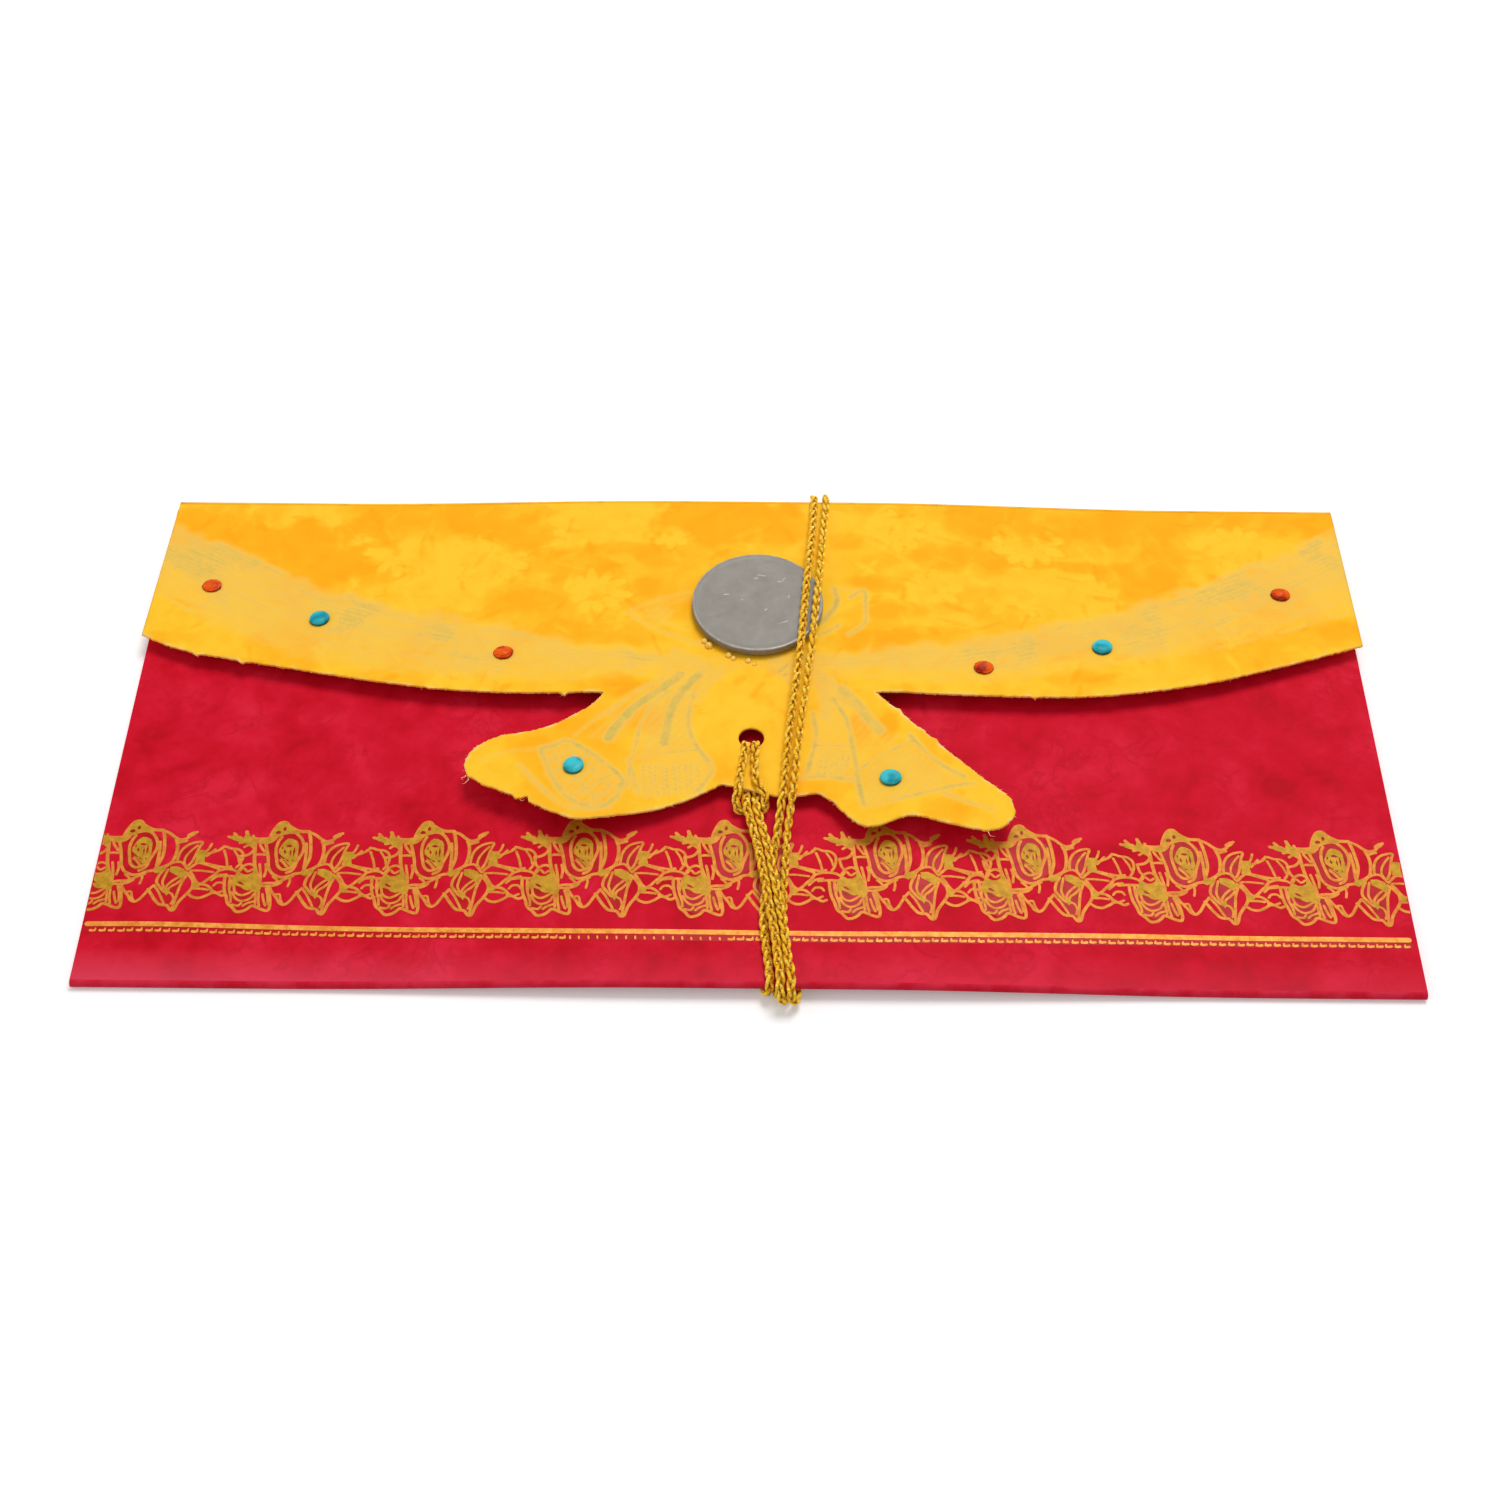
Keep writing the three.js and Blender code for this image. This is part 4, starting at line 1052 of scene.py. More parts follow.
def flap_print(verts, torn):
    """The inks at each vertex of the flap's face, and how far it is below the band's upper edge."""
    places = np.stack([verts[:, 0], FOLD_LINE - verts[:, 1]], axis=1)
    wobble = rough_field(places, 3.6, 1.7)
    drift = rough_field(places, 9, 4.2)
    dapple = rough_field(places, 2.1, 3.3, 3)
    tone = ground_tone(places, wobble, drift, dapple)
    lace, across = ribbon_lace(places, wobble, drift)
    tree = KDTree(len(torn))
    for i, (x, y) in enumerate(torn):
        tree.insert((x, FOLD_LINE - y, 0), i)
    tree.balance()
    near = np.array([tree.find((x, down, 0))[2] for x, down in places])
    pale = np.clip(0.3 + 0.9 * dapple, 0.05, 0.8) * fading(near + 0.2 * wobble, 0.0, 0.34)
    inks = [np.clip(ink, 0, 1) for ink in (tone, lace, pale)] + [np.ones(len(places))]
    return np.stack(inks, axis=1), across


def add_flap():
    torn = torn_edge()
    outline = np.concatenate([
        torn,
        [(HALF_FLAP, y) for y in np.arange(FOLD_LINE - FLAP_SIDE + 1, FOLD_Y, 1)],
        [(x, FOLD_Y) for x in np.arange(HALF_FLAP, -HALF_FLAP + 1.5, -1)],
        [(-HALF_FLAP + SIDE_LEAN * (1 - k / 32), FOLD_Y - k) for k in range(31)],
    ])
    turns = np.linspace(0, 2 * math.pi, 48, endpoint=False)
    hole = np.stack([HOLE_X + HOLE_DIAMETER / 2 * np.cos(turns),
                     FOLD_LINE - HOLE_FROM_FOLD + HOLE_DIAMETER / 2 * np.sin(turns)], axis=1)
    fine, top_faces, rings = sheet_from_outline(outline, hole, PRINT_STEP)
    coarse, low_faces, _ = sheet_from_outline(outline, hole, 3.0)
    top = [(x, y, FLAP_TOP + flap_rise(x, y)) for x, y in fine]
    bottom = [(x, y, FLAP_BOTTOM + flap_rise(x, y)) for x, y in coarse]
    count = len(fine)
    upper = facing_up(fine, top_faces)
    lower = facing_up(coarse, low_faces)[:, ::-1] + count
    rim = []
    for (first, last), outwards in zip(rings, (True, False)):
        loop = list(range(first, last))
        area = sum(fine[a][0] * fine[b][1] - fine[b][0] * fine[a][1] for a, b in zip(loop, loop[1:] + loop[:1]))
        if (area > 0) != outwards:
            loop.reverse()
        rim.extend((b, a, a + count, b + count) for a, b in zip(loop, loop[1:] + loop[:1]))
    faces = [tuple(f) for f in upper.tolist()] + [tuple(f) for f in lower.tolist()] + rim
    flap = mesh_piece("flap_paper", in_row(top + bottom), faces, PRINTED, "flap")
    mesh = flap.data
    mesh.materials.append(YELLOW)
    mesh.materials.append(TORN)
    kinds = np.concatenate([np.zeros(len(upper)), np.ones(len(lower)), np.full(len(rim), 2)]).astype(np.int32)
    mesh.polygons.foreach_set("material_index", kinds)
    mesh.polygons.foreach_set("use_smooth", kinds < 2)
    inks, across = flap_print(fine, torn)
    blank = np.tile((0.5, 0.0, 0.0, 1.0), (len(coarse), 1))
    mesh.color_attributes.new("print", "FLOAT_COLOR", "POINT").data.foreach_set(
        "color", np.concatenate([inks, blank]).ravel())
    mesh.attributes.new("across", "FLOAT", "POINT").data.foreach_set(
        "value", np.concatenate([across, np.zeros(len(coarse))]))
    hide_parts("flap")


# The fold is made in runs between these places along X, which follow the pocket's arch
FOLD_RUNS = [FOLD_LEFT, -72, -57, -42, -27, -12, 17, 32, 47, 62, 77, HALF_FLAP]
FOLD_BENDS = 12
FOLD_STEP = 1.5


def add_fold():
    """The turn of the yellow sheet over the pocket's mouth, in runs along X."""
    turns = [math.pi / 2 - math.pi * k / FOLD_BENDS for k in range(FOLD_BENDS + 1)]
    section = [(FOLD_OUTER * math.cos(angle), FOLD_OUTER * math.sin(angle)) for angle in turns]
    section += [(FOLD_INNER * math.cos(angle), FOLD_INNER * math.sin(angle)) for angle in turns[::-1]]
    size = len(section)
    for index, (left, right) in enumerate(zip(FOLD_RUNS, FOLD_RUNS[1:])):
        steps = max(2, round((right - left) / FOLD_STEP))
        points = []
        for i in range(steps + 1):
            x = left + (right - left) * i / steps
            points.extend((x, FOLD_Y + y, FOLD_HEIGHT + arch(x) + z) for y, z in section)
        faces = [tuple(range(size)), tuple(steps * size + j for j in range(size))[::-1]]
        faces += band_faces(steps + 1, size, flip=True)
        piece = mesh_piece(f"fold_paper_{index + 1}", in_row(points), faces, YELLOW, None, True)
        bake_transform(piece)
    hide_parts("flap_fold")


# Longer fibres that curl out of the torn edge: [x, distance from the fold, then steps in x and down]
CURLS = [
    (-44.7, 62.6, [(-0.6, 0.3), (-0.2, 0.7)]), (-44.2, 63.2, [(-0.5, 0.7), (-0.9, 0.8)]),
    (-36.0, 66.8, [(0.5, 0.6), (1.0, 0.3)]), (36.6, 72.7, [(0.3, 0.9), (1.1, 1.0)]), (23.6, 49.0, [(0.5, -0.4)]),
    (-83.8, 38.2, [(0.3, 0.5)]), (-91.6, 36.8, [(0.4, 0.5)]), (-30.3, 45.6, [(0.3, 0.5)]), (45.9, 45.2, [(0.2, 0.4)]),
]


def add_fibres(torn):
    """Fine pale paper fibres along the torn edge."""
    pick = random.Random(3)
    lines = []
    for i in range(2, len(torn) - 2, 2):
        if pick.random() > 0.45:
            continue
        along = torn[i + 1] - torn[i - 1]
        along = along / np.linalg.norm(along)
        outwards = np.array([along[1], -along[0]])
        reach = pick.uniform(0.12, 0.42) * (1.8 if pick.random() < 0.06 else 1)
        lean = pick.uniform(-0.8, 0.8)
        end = torn[i] + outwards * reach + along * reach * lean
        bend = torn[i] + outwards * reach * 0.6 + along * reach * lean * pick.uniform(0, 0.6)
        start = torn[i] - outwards * 0.12
        lines.append(([start, torn[i], bend, end], 0.035))
    for x, down, steps in CURLS:
        places = [(x, down - 0.25)] + [(x, down)] + [(x + dx, down + dy) for dx, dy in steps]
        lines.append(([np.array((px, FOLD_LINE - py)) for px, py in places], 0.075))
    parts = []
    for line, thick in lines:
        smooth = np.array(spline_through(line, 4))
        height = pick.uniform(0.3, 0.8) * FLAP_PAPER
        droop = pick.uniform(-0.1, 0.15)
        share = np.linspace(0, 1, len(smooth))
        centres = np.array([(x, y, FLAP_BOTTOM + flap_rise(x, y) + height + droop * t)
                            for (x, y), t in zip(smooth, share)])
        parts.append(tube(centres, thick * (1.05 - share), 5, (0, 0, 1)))
    points, faces = joined(parts)
    mesh_piece("paper_fibres", in_row(points), faces, FIBRE, "flap", True)


add_flap()
add_fold()
add_fibres(torn_edge())


# --- The gold print on the pocket ----------------------------------------------------------------------
# One rose and its leaves, drawn in units of 1/28 mm: [line width, places]. Y grows downwards.
ROSE_UNITS = 28
ROSE_PEN = 0.92
ROSE_MIDDLE = 365
ROSE_TOP = 96
ROSE_LINE = 665
ROSE_PLACES = [-94.3, -71.5, -48.8, -25.6, -2.4, 21.5, 43.7, 67.6, 90.9]
ROSE_STROKES = [
    # the big rose: its tip, its outer petals and its heart
    (17, [(270, 184), (277, 156), (290, 125), (304, 103), (320, 96), (334, 100), (348, 117), (372, 134), (396, 145),
          (438, 147)]),
    (15, [(296, 181), (312, 167), (336, 157), (362, 152), (390, 158)]),
    (17, [(205, 189), (238, 191), (268, 187), (296, 179)]),
    (16, [(222, 204), (250, 210), (276, 205), (296, 186)]),
    (15, [(254, 206), (263, 236), (271, 266), (279, 300), (283, 330), (290, 354), (304, 377), (324, 391), (348, 399),
          (376, 394), (402, 380), (430, 374)]),
    (15, [(322, 178), (312, 200), (307, 225), (306, 250), (310, 280), (316, 305), (322, 330), (334, 348), (350, 357),
          (370, 353), (386, 341), (394, 322)]),
    (15, [(386, 160), (402, 176), (416, 198), (425, 228), (424, 258), (414, 288), (404, 316), (398, 344), (388, 362),
          (368, 374)]),
    (14, [(334, 306), (350, 322), (368, 346)]),
    (16, [(438, 150), (447, 180), (453, 215), (457, 250), (458, 290), (450, 325), (440, 352)]),
    (15, [(434, 214), (438, 250), (440, 290), (439, 345)]),
    (14, [(262, 436), (292, 432), (322, 431), (346, 421), (372, 404), (396, 392)]),
    (13, [(264, 447), (300, 449), (334, 440), (352, 426)]),
    (12, [(312, 396), (328, 410), (337, 425)]),
    (12, [(386, 398), (388, 420), (383, 446)]),
    # the stem and its bars
    (17, [(210, 200), (214, 244), (218, 292), (226, 340), (238, 376), (250, 404), (256, 434)]),
    (13, [(218, 279), (240, 276), (262, 277)]),
    (13, [(246, 330), (254, 368), (261, 408), (260, 436)]),
    (13, [(272, 330), (278, 360), (274, 396)]),
    (13, [(228, 205), (236, 230), (258, 262)]),
    # the fern at the upper left
    (15, [(90, 180), (126, 192), (162, 202), (206, 214)]),
    (16, [(112, 161), (132, 184)]),
    (18, [(165, 152), (178, 188)]),
    (14, [(140, 182), (154, 196)]),
    (14, [(196, 174), (207, 202)]),
    (14, [(144, 214), (176, 206)]),
    (13, [(167, 236), (186, 224), (206, 238)]),
    (14, [(213, 238), (204, 264), (182, 282), (152, 288)]),
    # the half rose at the lower left
    (15, [(106, 404), (108, 440), (115, 480), (127, 510), (138, 545), (160, 565), (180, 588), (205, 586), (226, 573),
          (242, 556), (262, 561), (286, 573), (312, 579), (320, 560), (316, 520), (308, 482), (300, 456)]),
    (12, [(129, 404), (129, 440), (135, 474), (146, 510), (149, 538)]),
    (12, [(152, 452), (158, 478), (172, 494), (194, 500), (216, 490), (236, 474)]),
    (12, [(150, 486), (165, 514), (189, 530), (215, 526), (234, 512), (242, 494)]),
    (12, [(158, 552), (184, 556), (196, 542)]),
    (12, [(205, 556), (222, 542), (248, 532)]),
    (12, [(246, 470), (252, 505), (256, 545)]),
    (12, [(263, 480), (266, 520), (274, 556)]),
    (12, [(280, 492), (290, 528), (300, 552)]),
    (12, [(292, 462), (304, 500), (310, 544)]),
    (13, [(160, 366), (176, 342), (202, 330), (224, 340)]),
    (12, [(184, 356), (200, 371), (218, 360)]),
    (13, [(152, 290), (160, 326), (174, 348), (166, 368)]),
    (13, [(104, 358), (138, 364), (166, 384)]),
    (13, [(60, 402), (110, 397), (152, 400)]),
    (12, [(124, 400), (136, 430), (134, 462)]),
    # the heart-shaped leaf between the roses
    (14, [(302, 446), (318, 478), (344, 512), (358, 536), (378, 545), (396, 532), (410, 510), (426, 482),
         (446, 456)]),
    (11, [(338, 492), (354, 492), (361, 518), (372, 540)]),
    # the bud at the lower right
    (14, [(478, 366), (460, 400), (454, 436), (470, 462), (490, 486), (506, 494)]),
    (12, [(494, 368), (484, 408), (480, 440), (490, 468)]),
    (12, [(542, 412), (520, 432), (502, 458), (498, 486)]),
    (12, [(562, 420), (540, 446), (516, 466), (510, 488)]),
    (13, [(576, 402), (562, 442), (555, 482), (550, 522), (546, 556), (542, 586)]),
    (15, [(572, 382), (592, 402), (610, 430), (612, 462), (600, 490), (580, 520), (565, 546), (552, 586), (536, 588),
          (520, 566), (496, 562), (480, 556), (458, 530), (440, 502), (424, 478)]),
    (12, [(446, 456), (470, 490), (490, 528), (502, 552)]),
    (11, [(504, 492), (530, 502), (541, 530), (534, 556)]),
    (12, [(494, 340), (520, 326), (546, 327), (562, 346), (572, 362)]),
    (14, [(432, 376), (452, 372), (478, 356), (498, 332)]),
    # the leaf at the upper right
    (16, [(502, 200), (512, 230), (515, 264), (511, 300), (501, 330), (476, 350), (448, 364)]),
    (15, [(438, 150), (468, 164), (496, 188), (520, 200), (548, 192), (566, 168), (586, 156)]),
    (24, [(556, 176), (574, 164)]),
    (14, [(512, 218), (548, 206)]),
    (13, [(524, 326), (526, 298), (532, 268), (548, 240), (576, 219), (618, 212), (610, 242), (600, 282),
         (590, 320), (576, 346)]),
    (11, [(600, 232), (576, 262), (560, 292), (556, 322), (566, 346)]),
    # the small sprig
    (12, [(660, 222), (652, 248), (638, 272), (624, 300)]),
    (12, [(680, 252), (664, 272), (648, 290)]),
    (13, [(716, 234), (706, 250), (682, 264), (654, 276)]),
    (11, [(606, 252), (612, 284), (606, 324)]),
    # the two veined leaves at the right
    (14, [(578, 366), (598, 344), (620, 328), (652, 336), (690, 350), (712, 362), (704, 386), (680, 410), (658, 434),
          (640, 444), (622, 430), (606, 402), (590, 378)]),
    (11, [(592, 372), (632, 371), (688, 378)]),
    (14, [(614, 456), (640, 446), (670, 450), (694, 470), (698, 488)]),
    (14, [(600, 500), (622, 516), (650, 520), (680, 506), (702, 491), (722, 492), (744, 504), (762, 498)]),
    (12, [(620, 470), (650, 470), (682, 475)]),
    (13, [(698, 388), (716, 370), (742, 360), (768, 358)]),
    (13, [(688, 422), (716, 396), (748, 390)]),
    (12, [(702, 452), (716, 436), (740, 436), (752, 450)]),
    (12, [(704, 480), (722, 490), (746, 480)]),
    (13, [(648, 330), (700, 344), (736, 350), (762, 346)]),
    (13, [(702, 250), (722, 236), (750, 246), (780, 250), (802, 270), (806, 300), (798, 330), (786, 350)]),
    (12, [(720, 258), (735, 300), (745, 340)]),
    (11, [(764, 256), (784, 290), (794, 322)]),
]
ROSE_FILLS = [
    [(272, 180), (281, 148), (298, 108), (319, 94), (333, 98), (350, 116), (372, 134), (396, 146), (390, 158),
     (360, 150), (330, 158), (300, 172)],
    [(330, 216), (342, 196), (354, 186), (372, 188), (392, 200), (402, 220), (404, 262), (406, 286), (398, 308),
     (390, 330), (382, 344), (370, 330), (352, 308), (334, 296), (322, 276), (318, 248)],
    [(228, 192), (286, 190), (276, 210), (262, 222), (246, 214)],
    [(430, 360), (446, 352), (476, 354), (484, 362), (466, 380), (446, 390), (430, 382)],
    [(92, 182), (112, 170), (136, 180), (156, 186), (162, 164), (178, 166), (186, 178), (200, 186), (212, 204),
     (208, 228), (190, 226), (166, 216), (142, 210), (112, 198)],
    [(140, 404), (152, 384), (166, 376), (184, 388), (204, 388), (222, 376), (224, 350), (240, 366), (250, 402),
     (258, 436), (270, 456), (264, 478), (250, 486), (230, 470), (212, 474), (196, 468), (182, 456), (162, 448),
     (146, 456), (138, 428)],
    [(500, 352), (530, 350), (560, 364), (576, 386), (568, 406), (556, 420), (541, 404), (522, 392), (502, 380)],
    [(606, 256), (640, 258), (650, 272), (640, 300), (646, 328), (612, 330), (602, 300)],
    [(614, 438), (634, 444), (644, 456), (626, 470), (612, 464)],
    [(490, 480), (508, 470), (520, 490), (508, 512)],
]
# Small dark gaps inside the fills
ROSE_SPECKS = [
    [(291, 152), (301, 142), (315, 148), (314, 158), (301, 162), (292, 159)],
    [(321, 132), (329, 120), (337, 129), (335, 142), (325, 145)],
    [(350, 223), (364, 220), (380, 229), (366, 234), (351, 231)],
    [(330, 232), (336, 232), (335, 246), (329, 244)],
    [(405, 216), (411, 224), (413, 256), (407, 250)],
    [(354, 300), (368, 306), (370, 313), (360, 310)],
    [(382, 302), (391, 306), (388, 316)],
    [(335, 322), (346, 332), (356, 344), (344, 346)],
    [(322, 270), (336, 284), (352, 297), (349, 301), (333, 292), (321, 278)],
    [(370, 246), (375, 266), (371, 284), (367, 264)], [(384, 226), (391, 256), (386, 288), (381, 258)],
    [(344, 246), (352, 262), (346, 272), (340, 258)],
    [(164, 426), (178, 428), (196, 444), (184, 444), (170, 438)],
    [(163, 452), (180, 460), (190, 472), (174, 468)],
]
# The deeper red that shows between the strokes of each flower
ROSE_GROUNDS = [
    [(262, 220), (300, 186), (350, 162), (400, 164), (446, 200), (450, 260), (434, 345), (396, 380), (340, 390),
     (296, 362), (280, 300)],
    [(116, 410), (150, 392), (262, 440), (298, 462), (312, 556), (264, 554), (200, 574), (146, 544), (120, 480)],
    [(460, 402), (500, 356), (562, 392), (556, 496), (540, 566), (498, 552), (450, 470)],
    [(524, 322), (532, 264), (600, 222), (596, 300), (572, 346), (542, 328)],
]
FOIL_LIFT = 0.012
FOIL_THICK = 0.03
FOIL_LIMIT = POCKET_LENGTH / 2 - 0.15


# The gold line was printed askew: [x, how far it is above its straight place]
LINE_RISE = [(-101, 1.28), (-90, 1.4), (-72, 0.98), (-50, 0.48), (-25, 0.03), (15, -0.15), (35, 0.12),
             (58, 0.6), (101, 0.56)]
LINE_WIDTH = 0.84


def line_rise(x):
    return np.interp(x, *zip(*LINE_RISE))


def clipped(line, limit):
    """The parts of a line between -limit and limit along X."""
    parts, run = [], []
    for i, point in enumerate(line):
        within = abs(point[0]) <= limit
        if i and within != (abs(line[i - 1][0]) <= limit):
            before = line[i - 1]
            edge = math.copysign(limit, point[0])
            t = (edge - before[0]) / (point[0] - before[0])
            run.append(before + (point - before) * t)
            if not within:
                parts.append(run)
                run = []
        if within:
            run.append(point)
    if len(run) > 1:
        parts.append(run)
    return [np.array(part) for part in parts if len(part) > 1]


def ribbon_prism(line, width, base_at, thick):
    """A thin closed strip with rounded ends along a line of [x, y]."""
    along = np.gradient(line, axis=0)
    along /= np.maximum(1e-9, np.linalg.norm(along, axis=1))[:, None]
    half = width / 2
    centres = [line[0] - along[0] * half, line[0] - along[0] * half * 0.7] + list(line) \
        + [line[-1] + along[-1] * half * 0.7, line[-1] + along[-1] * half]
    ways = [along[0], along[0]] + list(along) + [along[-1], along[-1]]
    halves = [0.15 * half, 0.75 * half] + [half] * len(line) + [0.75 * half, 0.15 * half]
    points = []
    for (x, y), way, h in zip(centres, ways, halves):
        for side in (1, -1):
            px, py = x - side * way[1] * h, y + side * way[0] * h
            px = min(FOIL_LIMIT, max(-FOIL_LIMIT, px))
            points += [(px, py, base_at(px)), (px, py, base_at(px) + thick)]
    faces = [(0, 1, 3, 2)]
    last = 4 * (len(centres) - 1)
    for i in range(len(centres) - 1):
        a, b = 4 * i, 4 * i + 4
        faces += [(a + 1, b + 1, b + 3, a + 3), (a, a + 2, b + 2, b),
                  (a, b, b + 1, a + 1), (a + 2, a + 3, b + 3, b + 2)]
    faces.append((last, last + 2, last + 3, last + 1))
    return np.array(points), [face[::-1] for face in faces]


def area_prism(outline, base_at, thick):
    """A thin closed plate with the given outline of [x, y]."""
    outline = np.clip(outline, (-FOIL_LIMIT, -1000), (FOIL_LIMIT, 1000))
    count = len(outline)
    low = [(x, y, base_at(x)) for x, y in outline]
    high = [(x, y, z + thick) for x, y, z in low]
    twice = sum(a[0] * b[1] - b[0] * a[1] for a, b in zip(outline, np.roll(outline, -1, axis=0)))
    ahead = (lambda f: f) if twice > 0 else (lambda f: f[::-1])
    flat = tessellate_polygon([[Vector((x, y, 0)) for x, y in outline]])
    faces = []
    for a, b, c in flat:
        area = np.cross(outline[b] - outline[a], outline[c] - outline[a])
        if abs(area) < 1e-9:
            continue
        up = (a, b, c) if area > 0 else (a, c, b)
        faces += [tuple(v + count for v in up), up[::-1]]
    for a in range(count):
        b = (a + 1) % count
        faces.append(tuple(ahead((a, b, b + count, a + count))))
    return np.array(low + high), faces


def print_base(lift=0.0):
    """How high the underside of a printed form lies along X."""
    return lambda x: FRONT_TOP + FOIL_LIFT + lift + arch(x)


def rose_places(middle, points):
    places = []
    for px, py in points:
        x = middle + (px - ROSE_MIDDLE) / ROSE_UNITS
        y = FOLD_LINE - FOIL_FROM_FOLD - (py - ROSE_LINE) / ROSE_UNITS
        places.append((x, y + line_rise(x) * (py - ROSE_TOP) / (ROSE_LINE - ROSE_TOP)))
    return np.array(places)


# Steps in height keep crossing strokes and stacked plates from lying in one plane
STROKE_LIFT, STROKE_LEVELS = 0.00025, 20
PLATE_LIFT = 0.0003
# The plates of each rose: [name, look, slot, height, outlines]
ROSE_PLATES = [
    ("rose_hearts", OLIVE, "gold_foil", 0.006, ROSE_FILLS),
    ("rose_shades", PRINT_SHADE, "red_paper", 0.016, ROSE_SPECKS),
    ("rose_grounds", DEEP_RED, "red_paper", -0.02, ROSE_GROUNDS),
]


def add_roses():
    strokes = []
    for middle in ROSE_PLACES:
        for index, (width, points) in enumerate(ROSE_STROKES):
            base_at = print_base(STROKE_LIFT * (index % STROKE_LEVELS))
            line = rose_places(middle, spline_through(points, 4) if len(points) > 2 else points)
            for part in clipped(line, FOIL_LIMIT):
                strokes.append(ribbon_prism(part, ROSE_PEN * width / ROSE_UNITS, base_at, FOIL_THICK))
    points, faces = joined(strokes)
    mesh_piece("rose_border", in_row(points), faces, FOIL, "pocket")
    for name, look, slot, lift, outlines in ROSE_PLATES:
        plates = []
        for middle in ROSE_PLACES:
            for index, points in enumerate(outlines):
                outline = rose_places(middle, points)
                if np.abs(outline[:, 0]).min() <= FOIL_LIMIT - 0.1:
                    plates.append(area_prism(outline, print_base(lift + PLATE_LIFT * index), FOIL_THICK))
        points, faces = joined(plates)
        mesh_piece(name, in_row(points), faces, look, "pocket")


LINE_THICK = 0.05
LINE_STEP = 2.0
# The deeper red strip below the gold line, that the dashes are printed on: a painted shadow of the line
SHADE_WIDTH = 1.15
SHADE_DROP = 0.55
SHADE_LIFT = -0.02


def add_line():
    """The gold line of the front, which replaces the straight strip of the part."""
    xs = np.arange(-FOIL_LIMIT + 0.6, FOIL_LIMIT, LINE_STEP)
    line = np.array([(x, FOLD_LINE - FOIL_FROM_FOLD + line_rise(x)) for x in xs])
    smooth = softened(line, 4)
    points, faces = ribbon_prism(smooth, LINE_WIDTH, print_base(), LINE_THICK)
    rule = mesh_piece("foil_rule", in_row(points), faces, COPPER, "pocket")
    # the deeper red strip below the line is a painted shadow
    below = smooth - (0, LINE_WIDTH / 2 + SHADE_DROP)
    points, faces = ribbon_prism(below, SHADE_WIDTH, print_base(SHADE_LIFT), FOIL_THICK)
    mesh_piece("line_shade", in_row(points), faces, DEEP_RED, "pocket")
    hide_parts("foil_line")


DASH_PITCH = 1.4
DASH_LENGTH = 0.72
DASH_WIDTH = 0.4
DASH_DROP = 1.15
TICK_WIDTH = 0.24
TICK_HEIGHT = 0.34
# Between these places the print is worn down to short upright ticks
WORN_FROM, WORN_TO = -28, -4
WORN_WIDTH = 0.26


def add_dashes():
    """The broken row of small gold ticks just below the gold line."""
    pick = random.Random(11)
    parts = []
    x = -99.6
    while x < 99.5:
        y = FOLD_LINE - FOIL_FROM_FOLD - DASH_DROP + line_rise(x)
        length = DASH_LENGTH + pick.uniform(-0.1, 0.1)
        sway = pick.uniform(-0.05, 0.05)
        if WORN_FROM < x < WORN_TO:
            line = np.array([(x, y + 0.22 + sway), (x + 0.05, y - 0.12)])
            parts.append(ribbon_prism(line, WORN_WIDTH, print_base(), FOIL_THICK))
        else:
            line = np.array([(x, y + sway), (x + length * 0.5, y + sway - 0.05), (x + length, y + sway + 0.02)])
            parts.append(ribbon_prism(line, DASH_WIDTH, print_base(), FOIL_THICK))
            end = x + length if x < 0 else x
            tick = np.array([(end, y + sway), (end + 0.04, y + sway + TICK_HEIGHT)])
            parts.append(ribbon_prism(tick, TICK_WIDTH, print_base(), FOIL_THICK + 0.002))
        x += DASH_PITCH + pick.uniform(-0.06, 0.06)
    points, faces = joined(parts)
    mesh_piece("foil_dashes", in_row(points), faces, COPPER, "pocket")


add_roses()
add_line()
add_dashes()


# --- Pieces that sit on the flap ---------------------------------------------------------------------
def seat_on_flap(x, from_fold):
    """Where a piece sits on the flap, and the turn that stands it square on the paper."""
    y = FOLD_LINE - from_fold
    step = 0.5
    slope_x = (flap_rise(x + step, y) - flap_rise(x - step, y)) / (2 * step)
    slope_y = (flap_rise(x, y + step) - flap_rise(x, y - step)) / (2 * step)
    normal = Vector((-slope_x, -slope_y, 1)).normalized()
    turn = Vector((0, 0, 1)).rotation_difference(normal).to_matrix()
    place = Vector((x, y, FLAP_TOP + flap_rise(x, y))) + normal * SEAT_GAP
    return np.array(place), np.array(turn)


def seated(points, seat):
    place, turn = seat
    return in_row(np.array(points) @ turn.T + place)


def disc_faces(rings, around):
    """Faces of a closed turned form: a centre point, rings, and a last centre point."""
    last = 1 + rings * around
    tail = last - around
    under = [(0, 1 + (j + 1) % around, 1 + j) for j in range(around)]
    top = [(last, tail + j, tail + (j + 1) % around) for j in range(around)]
    return under + band_faces(rings, around, first=1) + top


COIN_AROUND = 144
COIN_FIELD_RINGS = 30
COIN_WEAR = 0.025
# The rings of the coin's bevel that carry a painted highlight
BRIGHT_FROM, BRIGHT_TO = 5, 7


